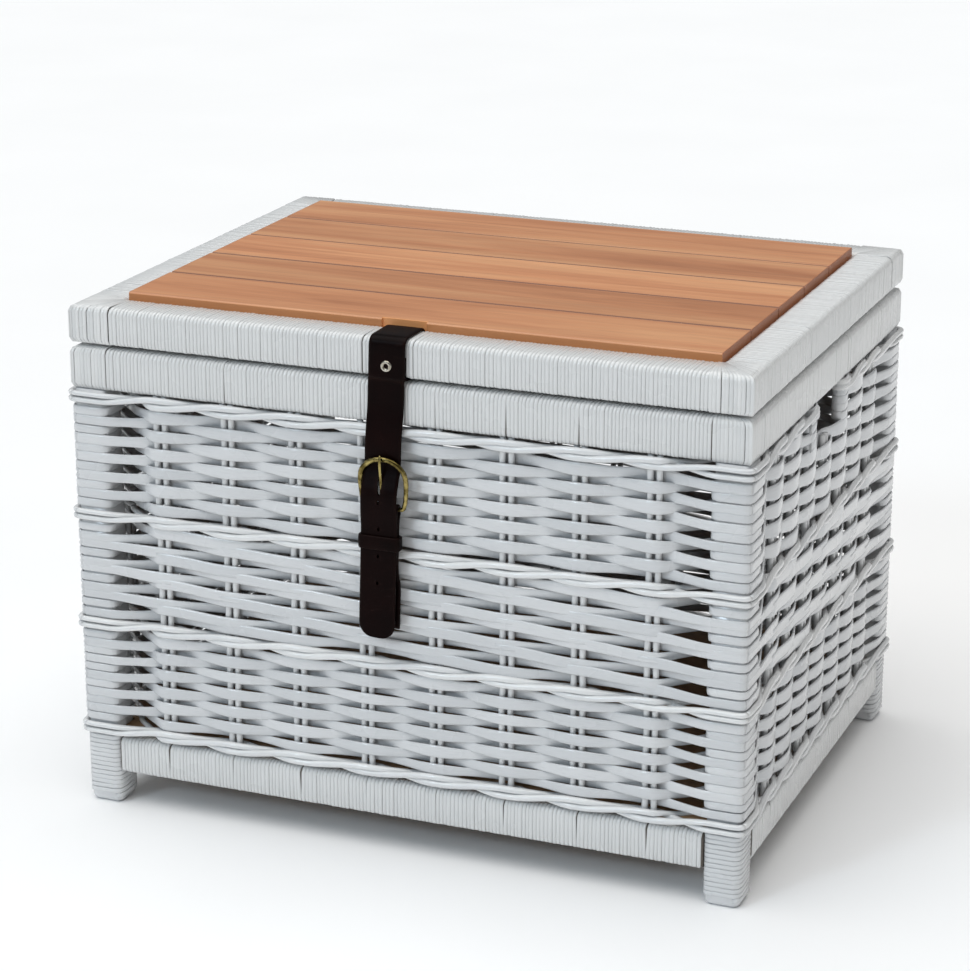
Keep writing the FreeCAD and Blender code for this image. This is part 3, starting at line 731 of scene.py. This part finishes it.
def rounded_outline(half_x, half_y, radius, steps=3):
    """A rounded rectangle about the origin, counter-clockwise."""
    rows = []
    for cx, cy, first in ((1, -1, -90), (1, 1, 0), (-1, 1, 90), (-1, -1, 180)):
        for k in range(steps + 1):
            angle = math.radians(first + 90 * k / steps)
            rows.append((cx * (half_x - radius) + radius * math.cos(angle),
                         cy * (half_y - radius) + radius * math.sin(angle)))
    return np.array(rows)


def make_handle_turns(paint):
    """Broad turns of cane bound round the pair of stakes on each side of a handle opening."""
    top = box("stakes_sides")[1][2]
    for w in SIDE_WALLS:
        wall = WALLS[w]
        turns = Strands()
        for s in (wall.stakes[SIDE_COUNT // 2 - 1], wall.stakes[SIDE_COUNT // 2 + 1]):
            for level in np.arange(HANDLE_SILL + 5.0, top - 2.0, HANDLE_PITCH):
                drop = rng.uniform(-0.5, 0.5)
                rows = [wall.at(s + a, b, level + drop + 0.12 * a)
                        for a, b in rounded_outline(PAIR_HALF + 2.2, STAKE_RADIUS + 2.2, 4.6)]
                path = spline(rows, 2.5, True)
                out = unit(path - np.array([wall.at(s, 0.0, z) for z in path[:, 2]]))
                turns.sweep(path, out, HANDLE_PITCH * 0.52, 1.1, CANE, closed=True, groove=0.1)
        turns.build("cane_handle_" + wall.name, paint, "root", slot="painted_weave")


def make_stakes(paint):
    """Pairs of straight rods, a little uneven."""
    for name, walls in (("stakes_front_back", (1, 3)), ("stakes_sides", SIDE_WALLS)):
        rods = Strands()
        low, high = box(name)
        for w in walls:
            for s in WALLS[w].stakes:
                top = HANDLE_SILL - 1 if w in SIDE_WALLS and abs(s) < 1 else high[2]
                for side in (-PAIR_OFFSET, PAIR_OFFSET):
                    levels = np.linspace(low[2], top, 14)
                    rows = [WALLS[w].at(s + side + rng.gauss(0, 0.25), rng.gauss(0, 0.15), z)
                            for z in levels]
                    path = spline(rows, 12.0)
                    out = np.tile([*WALLS[w].out, 0.0], (len(path), 1))
                    radius = STAKE_RADIUS * rng.uniform(0.95, 1.02)
                    rods.sweep(path, out, radius, radius, ROUND, bare=0.8)
        rods.build("rods_" + name, paint, "root", name, slot="painted_stake")


# ---------------------------------------------------------------- rails and their bindings

RAIL_ROUND = 4.6
TURN_HALF = 0.8
TURN_PITCH = 3.4
BINDING_THICK = 1.4
SLIT_REACH = 30
SLIT_FADE = 7


def rail_turns(bundle, wall, stop, section, slits, edge):
    """One cane wound round a rail as far as stop each way. Turns part at each slit, towards edge."""
    r = RAIL_ROUND
    n_low, n_high, z_low, z_high = section
    half_n, half_z = (n_high - n_low) / 2 - TURN_HALF, (z_high - z_low) / 2 - TURN_HALF
    mid_n, mid_z = (n_high + n_low) / 2, (z_high + z_low) / 2
    rows, outs, wides = [], [], []
    s = TURN_PITCH / 2 - stop
    while s < stop - TURN_PITCH / 2:
        pitch = TURN_PITCH * rng.uniform(0.86, 1.14)
        lift = rng.gauss(0, 0.12)
        for passed, cn, cz, a, b in turn_points():
            n = mid_n + cn * (half_n - r) + a * (r + lift)
            z = mid_z + cz * (half_z - r) + b * (r + lift)
            shift = 0.0
            near = 0.5 + 0.5 * edge * cz if edge else 1.0
            for at, gap in slits:
                if abs(s - at) < SLIT_REACH and cn > 0:
                    shift += math.copysign(gap, s - at) * math.exp(-abs(s - at) / SLIT_FADE) * near
            rows.append(wall.at(s + shift + pitch * passed / 4, n, z))
            outs.append([*(wall.out * a), b])
            wides.append(pitch * 0.52)
        s += pitch
    bundle.sweep(np.array(rows), np.array(outs), np.array(wides), TURN_HALF, OVAL)


def fan_turns(bundle, wall, sign, reach, section, depth):
    """Single turns over a corner block, spread on the outside and meeting at its inner corner."""
    count = round(depth / TURN_PITCH)
    r = RAIL_ROUND
    n_low, n_high, z_low, z_high = section
    z0, z1 = z_low + TURN_HALF, z_high - TURN_HALF
    n1, n0 = n_high - TURN_HALF, n_low + TURN_HALF
    for k in range(count):
        share = (k + 0.5 + rng.gauss(0, 0.08)) / count
        outer = sign * (reach - depth + share * depth)
        inner = sign * (reach - depth - 2.5 + 4.0 * share)
        lift = 0.35 * (1 - share) + rng.uniform(0, 0.12)
        rows, outs, wides = [], [], []
        for _, cn, cz, a, b in turn_points():
            n = (n1 - r if cn > 0 else n0 + r) + a * r
            z = (z1 - r if cz > 0 else z0 + r) + b * (r + lift)
            part = (n - n0) / (n1 - n0)
            rows.append(wall.at(inner + (outer - inner) * part, n, z))
            outs.append([*(wall.out * a), b])
            wides.append((TURN_PITCH * 0.54) * (0.5 + 0.5 * part))
        bundle.sweep(np.array(rows), np.array(outs), np.array(wides), TURN_HALF, OVAL, closed=True)


def rail_core(name, wall, wood, body, stop, section):
    """The rounded wooden rail under its binding; its dark wood is partly painted shade for the slits
    between the turns.
    """
    n_low, n_high, z_low, z_high = section
    half_n, half_z = (n_high - n_low) / 2 - BINDING_THICK, (z_high - z_low) / 2 - BINDING_THICK
    core = Strands()
    mid_n, mid_z = (n_high + n_low) / 2, (z_high + z_low) / 2
    rows = np.array([wall.at(s, mid_n, mid_z) for s in np.linspace(-stop, stop, 9)])
    out = np.tile([*wall.out, 0.0], (len(rows), 1))
    shape = rounded_outline(half_z, half_n, RAIL_ROUND - 0.6)
    core.sweep(rows, out, 1.0, 1.0, shape)
    core.build("core_" + name, wood, body, name, slot="frame_wood")


# Each kind's body, the edge where its slits are widest, how far they stray, and how wide they may be.
RAIL_KINDS = {
    "bottom_rail": ("root", 1, 0, [0.15, 0.3, 0.6, 1.0]),
    "top_rail": ("root", -1, 0, [0.0, 0.15, 0.3, 0.7]),
    "lid_rail": ("lid", 0, 28, [0.0, 0.15, 0.3, 0.5]),
}


def make_rails(paint, wood):
    """Every rail's core and the cane round it; the top and the lid's rails have mitred corners."""
    for kind, (body, edge, stray, gaps) in RAIL_KINDS.items():
        for wall in WALLS:
            low, high = box(f"{kind}_binding_{wall.name}")
            across = 0 if wall.along[0] else 1
            end = high[across]
            other = 1 - across
            far = max(abs(low[other]), abs(high[other]))
            near = min(abs(low[other]), abs(high[other]))
            n_low, n_high = near - wall.line, far - wall.line
            depth = n_high - n_low
            bundle = Strands()
            front_back = wall.name in ("front", "back")
            reach = end if front_back else POST_OUT_Y + (n_high - POST_FACE)
            fans = kind != "bottom_rail"
            stop = reach - depth if fans else end
            slits = [(s + (rng.uniform(-stray, stray) if stray else 0.0), rng.choice(gaps))
                     for s in wall.stakes]
            section = (n_low, n_high, low[2], high[2])
            rail_turns(bundle, wall, stop, section, slits, edge)
            if fans:
                for sign in (-1, 1):
                    fan_turns(bundle, wall, sign, reach, section, depth)
            bundle.build(f"turns_{kind}_{wall.name}", paint, body,
                         f"{kind}_binding_{wall.name}", slot="painted_cane")
            rail_core(f"{kind}_{wall.name}", wall, wood, body, stop, section)


# ---------------------------------------------------------------- strap and buckle

FRONT = -box("lid_rail_binding_front")[0][1]


def strap_place(out, z, x=0.0):
    return [x, -FRONT - out, z]


def filleted(points, radius, steps=5):
    """The given corners rounded off, as a list of points."""
    p = [np.array(q, float) for q in points]
    rows = [p[0]]
    for a, b, c in zip(p, p[1:], p[2:]):
        u, v = unit(a - b), unit(c - b)
        room = min(radius, np.linalg.norm(a - b) * 0.48, np.linalg.norm(c - b) * 0.48)
        start, end = b + u * room, b + v * room
        for k in range(steps + 1):
            t = k / steps
            rows.append((1 - t) ** 2 * start + 2 * t * (1 - t) * b + t * t * end)
    rows.append(p[-1])
    return np.array(rows)


def dense(rows, step):
    """The same line with points at most step apart."""
    runs = []
    for a, b in zip(rows, rows[1:]):
        count = max(1, math.ceil(np.linalg.norm(b - a) / step))
        runs.append(a + (b - a) * np.linspace(0, 1, count, endpoint=False)[:, None])
    return np.vstack(runs + [rows[-1:]])


def strap_outline(half_wide, half_thick, crown=0.12):
    """Section of a leather strap: burnished edges and a slightly full face."""
    face = [(half_wide - 0.2, half_thick - 0.45), (half_wide - 0.7, half_thick)]
    face += [(half_wide * b, half_thick + crown * (1 - b * b)) for b in (0.8, 0.4, 0.0)]
    face += [(-b, n) for b, n in face[:-1][::-1]]
    back = [(-b, -min(n, half_thick)) for b, n in face]
    return np.array([(half_wide, 0.0)] + face + [(-half_wide, 0.0)] + back)


def facing(path):
    """The way out, square to a line that runs up or down the front."""
    tangent = direction(path)
    return np.stack([0 * tangent[:, 0], tangent[:, 2], -tangent[:, 1]], 1)


def strap_strip(rows, scale=1.0):
    """A leaning strap along a line of (out, level) points, as one swept strand."""
    strip = Strands()
    path = np.array([strap_place(out, z, STRAP_X + lean(z)) for out, z in rows])
    strip.sweep(path, facing(path), scale, 1.0, SECTION)
    return strip


def cut_holes(piece, cutters):
    """Cuts the closed cutter meshes out of a piece and leaves the result as its mesh."""
    for cutter in cutters:
        change = piece.modifiers.new("hole", "BOOLEAN")
        change.operation = "DIFFERENCE"
        change.solver = "EXACT"
        change.object = cutter
        graph = bpy.context.evaluated_depsgraph_get()
        mesh = bpy.data.meshes.new_from_object(piece.evaluated_get(graph))
        piece.modifiers.clear()
        piece.data = mesh
        bpy.data.objects.remove(cutter)
    piece.data.polygons.foreach_set("use_smooth", [True] * len(piece.data.polygons))
    piece.data.set_sharp_from_angle(angle=math.radians(50))


def skin_rings(grid, rings):
    """Joins rings of vertices into a tube, and turns all the faces the same way."""
    sides = len(rings[0])
    for a, b in zip(rings, rings[1:]):
        for k in range(sides):
            n = (k + 1) % sides
            grid.faces.new([a[k], b[k], b[n], a[n]])
    bmesh.ops.recalc_face_normals(grid, faces=grid.faces)


def mesh_of(name, grid):
    """A new mesh from a finished grid, which is freed."""
    mesh = bpy.data.meshes.new(name)
    grid.to_mesh(mesh)
    grid.free()
    return mesh


def slot_cutter(x, out, z, half_x, half_z, long, sides=14):
    """An upright elliptic plug through a strap, as an object to cut with."""
    grid = bmesh.new()
    rings = []
    for end in (out - long, out + long):
        rings.append([grid.verts.new(Vector(strap_place(
            end, z + half_z * math.sin(a), x + half_x * math.cos(a))) * MM)
            for a in np.arange(sides) * math.tau / sides])
    grid.faces.new(rings[0])
    grid.faces.new(rings[1][::-1])
    skin_rings(grid, rings)
    cutter = add_object("cutter", mesh_of("cutter", grid))
    cutter.hide_render = True
    return cutter


STRAP_LOW, STRAP_HIGH = box("strap_tongue")
STRAP_X = (STRAP_LOW[0] + STRAP_HIGH[0]) / 2
STRAP_HALF = 16.0
LEATHER_HALF = 1.1
LEAN_FROM = 429.0
LEAN_TOP = 2.2
LEAN = 0.033
HEEL_OUT, HEEL_Z = 8.5, 310.0
TIP_ROUND = 12.0
HOLES, LOWEST_HOLE, HOLE_PITCH = 4, 48.0, 23.5


def lean(z):
    """How far the strap, which hangs a little askew, is to the side at a level."""
    return LEAN_TOP - (LEAN_FROM - z) * LEAN


LOOP_OUT = 3.5
LOOP_FACE = LOOP_OUT + LEATHER_HALF
LOOP_TAIL_Z, LOOP_STRAIGHT_Z = 437.0, 428.0
TONGUE_OUT = 12.2
SECTION = strap_outline(STRAP_HALF, LEATHER_HALF)


def make_loop(leather):
    """The strap's part round the lid's front rail, from its tail behind the rivet."""
    low, high = box("strap_loop")
    inner = -FRONT - high[1] + LEATHER_HALF
    under, over = low[2] + LEATHER_HALF, high[2] - LEATHER_HALF
    corners = [(LEATHER_HALF, LOOP_TAIL_Z), (LEATHER_HALF, under), (inner, under), (inner, over),
               (LOOP_OUT, over), (LOOP_OUT, LOOP_STRAIGHT_Z)]
    rows = np.vstack([filleted(corners, 7.5, 6), [(LOOP_OUT, STRAP_HIGH[2])]])
    strip = strap_strip(dense(rows, 3.0))
    strip.build("leather_loop", leather, "lid", "strap_loop", slot="strap_leather")


def make_tongue(leather):
    """The hanging part: over the wale, behind the buckle's arc, over its bar and down to the tip."""
    tip = STRAP_LOW[2]
    knots = [(LOOP_OUT, STRAP_HIGH[2]), (LOOP_OUT, 408.0), (3.7, 394.0), (5.6, 380.0), (7.3, 362.0),
             (7.6, 345.0), (11.0, 334.0), (14.0, 325.0), (14.2, 308.0), (12.4, 295.0),
             (TONGUE_OUT, 280.0), (TONGUE_OUT, 240.0), (TONGUE_OUT, tip)]
    rows = spline([[0.0, a, b] for a, b in knots], 3.0)[:, 1:]
    above_tip = (TIP_ROUND, 8.0, 5.5, 3.5, 2.0, 1.0, 0.35, 0.0)
    rows = np.vstack([rows[rows[:, 1] > tip + TIP_ROUND], [[TONGUE_OUT, tip + d] for d in above_tip]])
    d = np.clip(rows[:, 1] - tip, 0, TIP_ROUND)
    half = STRAP_HALF - TIP_ROUND + np.sqrt(TIP_ROUND ** 2 - (TIP_ROUND - d) ** 2) + 0.05
    strip = strap_strip(rows, half / STRAP_HALF)
    tongue = strip.build("leather_tongue", leather, "lid", slot="strap_leather")
    # The tongue bends from the lid to the strap's body, so it hangs from neither of them.
    tongue.parent = None
    del tongue["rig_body"]
    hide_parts("strap_tongue")
    # Each hole's level, how far out it is, and its half width and height; the last is the prong's.
    spots = [(tip + LOWEST_HOLE + HOLE_PITCH * k, 12.8, 1.25, 1.9) for k in range(HOLES)]
    spots.append((331.5, 11.5, 1.8, 9.5))
    cut_holes(tongue, [slot_cutter(STRAP_X + lean(z), out, z, a, b, 6.0) for z, out, a, b in spots])
    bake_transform(tongue)


def make_lower_strap(leather):
    """The strap that holds the buckle: up from its rivets and folded round the heel bar."""
    corners = [(1.2, box("buckle_strap")[0][2]), (1.2, 242.0), (7.3, 256.0), (7.3, 298.0),
               (5.3, 306.0)]
    fold = [(HEEL_OUT + 3.2 * math.cos(a), HEEL_Z + 3.2 * math.sin(a))
            for a in np.radians([170, 140, 110, 80, 50, 20, 0])]
    sewn = [(11.4, 305.0), (9.8, 299.0), (9.7, 285.0), (9.7, 263.0)]
    rows = np.vstack([filleted(corners, 7.0, 4), fold, sewn])
    strip = strap_strip(dense(rows, 4.0))
    lower = strip.build("leather_buckle_strap", leather, "root", "buckle_strap",
                        slot="strap_leather")
    cut_holes(lower, [slot_cutter(STRAP_X + lean(HEEL_Z), HEEL_OUT + 1, HEEL_Z - 2.0, 2.3, 10.5, 9.0)])


def make_keeper(leather):
    """The band that holds the tongue against the lower strap."""
    low, high = box("keeper_loop")
    skin = 0.9
    half_x = (high[0] - low[0]) / 2 - skin
    out_far, out_near = -FRONT - low[1] - skin, -FRONT - high[1] + skin
    middle = (out_far + out_near) / 2
    level = (low[2] + high[2]) / 2
    path = np.array([strap_place(middle - b, level, STRAP_X + lean(level) + 0.3 + a)
                     for a, b in rounded_outline(half_x, (out_far - out_near) / 2, 3.0, 4)])
    path = path[::-1]
    shape = strap_outline((high[2] - low[2]) / 2, skin, 0.25)
    band = Strands()
    band.sweep(path, -right_of(path, True), 1.0, 1.0, shape, closed=True)
    band.build("leather_keeper", leather, "root", "keeper_loop", slot="strap_leather")


def make_frame(brass):
    """The buckle's horseshoe frame, a little heavier over the top, with its straight heel bar."""
    low, high = box("buckle_frame")
    top, wide = high[2] - 1.9, (high[0] - low[0]) / 2 - 2.3
    middle_x = STRAP_X + 0.8
    half = [(13.0, HEEL_Z), (wide - 3.4, HEEL_Z + 0.6), (wide - 1.6, HEEL_Z + 5.0),
            (wide - 0.4, HEEL_Z + 14.0), (wide, HEEL_Z + 23.0), (wide - 1.6, HEEL_Z + 31.5),
            (wide - 7.0, top - 4.2), (wide - 13.5, top - 0.9)]
    line = half + [(0.0, top)] + [(-a, b) for a, b in half[::-1]] + [(0.0, HEEL_Z)]
    rows = []
    for a, b in line:
        rise = (b - HEEL_Z) / (top - HEEL_Z)
        rows.append(strap_place(HEEL_OUT + 2.8 * rise ** 1.2, b, middle_x + a))
    path = spline(rows, 1.6, True)
    centre = np.array(strap_place(HEEL_OUT, (HEEL_Z + top) / 2, middle_x))
    lift = np.clip((path[:, 2] - HEEL_Z) / 30, 0, 1)
    ring = Strands()
    ring.sweep(path, unit(path - centre), 1.8, 1.85 + 0.45 * lift, ROUND, closed=True)
    ring.build("brass_frame", brass, "buckle", "buckle_frame", slot="antique_brass")


def make_prong(brass):
    """The prong, curled round the heel bar and resting over the top of the frame."""
    prong = Strands()
    curl = [strap_place(HEEL_OUT + 2.55 * math.cos(a), HEEL_Z + 2.55 * math.sin(a), STRAP_X)
            for a in np.linspace(-2.6, 2.9, 18)[::-1][:9]]
    shank = [(10.9, 314.0), (11.8, 324.0), (13.2, 337.0), (14.6, 347.0), (14.9, 352.0), (14.3, 356.0)]
    path = spline(curl + [strap_place(a, b, STRAP_X) for a, b in shank], 1.2)
    along = np.linspace(0, 1, len(path))
    size = 1.2 * np.clip((1.0 - along) / 0.06, 0.35, 1) ** 0.5
    prong.sweep(path, facing(path), size * 1.05, size * 0.85, ROUND)
    prong.build("brass_prong", brass, "prong", "buckle_prong", slot="antique_brass")


def lathe(name, centre, profile, material, body, node, sides=32):
    """A round piece facing the front, turned from its (radius, height) profile."""
    grid = bmesh.new()
    rings = []
    for radius, height in profile:
        at = [Vector((centre[0] + radius * math.cos(a), centre[1] - height,
                      centre[2] + radius * math.sin(a))) * MM
              for a in np.arange(sides) * math.tau / sides]
        rings.append([grid.verts.new(p) for p in at])
    skin_rings(grid, rings)
    mesh = mesh_of(name, grid)
    mesh.shade_smooth()
    settle(name, mesh, material, body, [node])


def make_rivet(nickel):
    """The eyelet that pins the loop: an open ring with a round crest, the leather dark inside it."""
    low, high = box("strap_rivet")
    middle, radius = (low + high) / 2, (high[0] - low[0]) / 2
    height = -FRONT - low[1] - LOOP_FACE
    crest = [(0.36, -0.5), (0.38, 0.40), (0.48, 0.80), (0.64, 1.0), (0.80, 0.95), (0.93, 0.62),
             (1.0, -0.1)]
    lathe("nickel_rivet", [middle[0] + lean(middle[2]), -FRONT - LOOP_FACE + 0.1, middle[2]],
          [(radius * a, height * b) for a, b in crest], nickel, "lid", "strap_rivet")


# ---------------------------------------------------------------- the whole trunk


def dress(node, material):
    """A better material on a CAD node that keeps its shape."""
    piece = frame["nodes"][node]
    piece.data.materials.clear()
    piece.data.materials.append(material)


BOARDS = 5
EDGE_UNIT = 0.005
NOTCH_HALF = (STRAP_HALF + 4.4) * MM
NOTCH_DEEP = 4.2 * MM
# The joint colour is painted shade for the gaps between the boards.
JOINT_SHADE, END_GRAIN = (0.15, 0.040, 0.012), (0.40, 0.115, 0.028)
# The notch colour is painted light: brighter than the wood, to make up for the strap's shade on the notch
# walls.
FRONT_EDGE, NOTCH_PAINTED_LIGHT = (0.52, 0.20, 0.060), (0.88, 0.39, 0.15)


def board_edges(s, colour):
    """Paints shade along the gaps between the boards, darkens their end grain, warms the front edge, and
    paints light onto the notch's walls, which lie in the strap's shade.
    """
    def units(value):
        return s.maths("MULTIPLY", value, 1 / EDGE_UNIT)

    low, high = np.array(box("board_1")[0]) * MM, np.array(box(f"board_{BOARDS}")[1]) * MM
    pitch = (high[1] - low[1]) / BOARDS
    x, y, _ = s.add("SeparateXYZ", {"Vector": s.place()}).outputs
    from_front = s.maths("SUBTRACT", y, low[1])
    step = s.maths("ROUND", s.maths("DIVIDE", from_front, pitch))
    step = s.maths("MINIMUM", s.maths("MAXIMUM", step, 1.0), BOARDS - 1.0)
    joint = s.maths("ADD", s.maths("MULTIPLY", step, pitch), low[1])
    away = units(s.maths("ABSOLUTE", s.maths("SUBTRACT", y, joint)))
    # Painted shade: the board is darkened along each gap between boards.
    colour = s.mix(s.ramp(away, [(0.30, 0.88), (0.40, 0.0)]), colour, JOINT_SHADE)
    end = units(s.maths("SUBTRACT", high[0], s.maths("ABSOLUTE", x)))
    colour = s.mix(s.ramp(end, [(0.06, 0.85), (0.12, 0.0)]), colour, END_GRAIN)
    front = units(from_front)
    colour = s.mix(s.ramp(front, [(0.06, 0.75), (0.12, 0.0)]), colour, FRONT_EDGE)
    across = s.maths("ABSOLUTE", s.maths("SUBTRACT", x, STRAP_X * MM))
    notch = s.maths("LESS_THAN", across, NOTCH_HALF)
    behind = s.maths("MULTIPLY", s.maths("LESS_THAN", from_front, NOTCH_DEEP),
                     s.maths("GREATER_THAN", front, 0.06))
    # Painted light: the notch's walls, in the strap's shade, get the brighter orange.
    return s.mix(s.maths("MULTIPLY", notch, behind), colour, NOTCH_PAINTED_LIGHT)


def make_boards():
    """The boards, each with wood of its own, and the plain wood of the floor and the battens."""
    light, middle, dark = (0.76, 0.39, 0.19), (0.62, 0.27, 0.125), (0.40, 0.14, 0.055)
    for k in range(1, BOARDS + 1):
        tint = rng.uniform(0.90, 1.08)
        tones = [tuple(tint * c for c in tone) for tone in (light, middle, dark)]
        dress(f"board_{k}", wood_material(f"board_wood_{k}", k, *tones, stripes=2.2 + 0.4 * k,
                                          edges=board_edges))
    inner = wood_material("inner_wood", 9, (0.42, 0.27, 0.15), (0.34, 0.20, 0.10),
                          (0.22, 0.12, 0.06), 2.0, 0.6)
    for node in ("floor_panel", "lid_battens"):
        dress(node, inner)


def make_floor():
    grid = bmesh.new()
    bmesh.ops.create_grid(grid, x_segments=8, y_segments=8, size=FLOOR_HALF)
    floor = add_object("studio_floor", mesh_of("studio_floor", grid))
    floor.data.materials.append(floor_material())


def main():
    make_camera()
    make_lights()
    make_floor()
    white, shade, bare = (0.74, 0.745, 0.75), (0.57, 0.585, 0.60), (0.55, 0.56, 0.57)
    cane = paint_material("painted_cane", white, shade, bare, 0.26)
    rod = paint_material("painted_rod", (0.82, 0.82, 0.81), (0.69, 0.70, 0.71), bare, 0.20)
    binding = paint_material("painted_binding", (0.80, 0.80, 0.79), (0.66, 0.67, 0.67), bare, 0.26)
    # Dark unpainted wood for the rail cores, made darker still as painted shade where it shows in the
    # slits between the binding's turns.
    core_wood_and_slit_shade = wood_material("rail_wood", 4, (0.20, 0.17, 0.14), (0.14, 0.12, 0.10),
                           (0.08, 0.07, 0.06), 2.0, 0.7)
    brass = metal_material("antique_brass", (0.40, 0.32, 0.12), (0.10, 0.075, 0.022), 0.24)
    nickel = metal_material("rivet_nickel", (0.66, 0.63, 0.56), (0.28, 0.25, 0.19), 0.20)
    steel = metal_material("steel", (0.55, 0.54, 0.52), (0.36, 0.35, 0.34), 0.35)
    leather = leather_material("strap_leather")
    wraps = make_walls(cane, rod)
    make_posts(cane, wraps)
    make_stakes(rod)
    make_handle_turns(cane)
    make_rails(binding, core_wood_and_slit_shade)
    for make in (make_loop, make_tongue, make_lower_strap, make_keeper):
        make(leather)
    make_frame(brass)
    make_prong(brass)
    make_rivet(nickel)
    make_boards()
    dress("buckle_rivets", brass)
    for node in ("hinge_leaves_body", "hinge_leaves_lid", "hinge_pins", "hinge_screws_body",
                 "hinge_screws_lid"):
        dress(node, steel)


main()
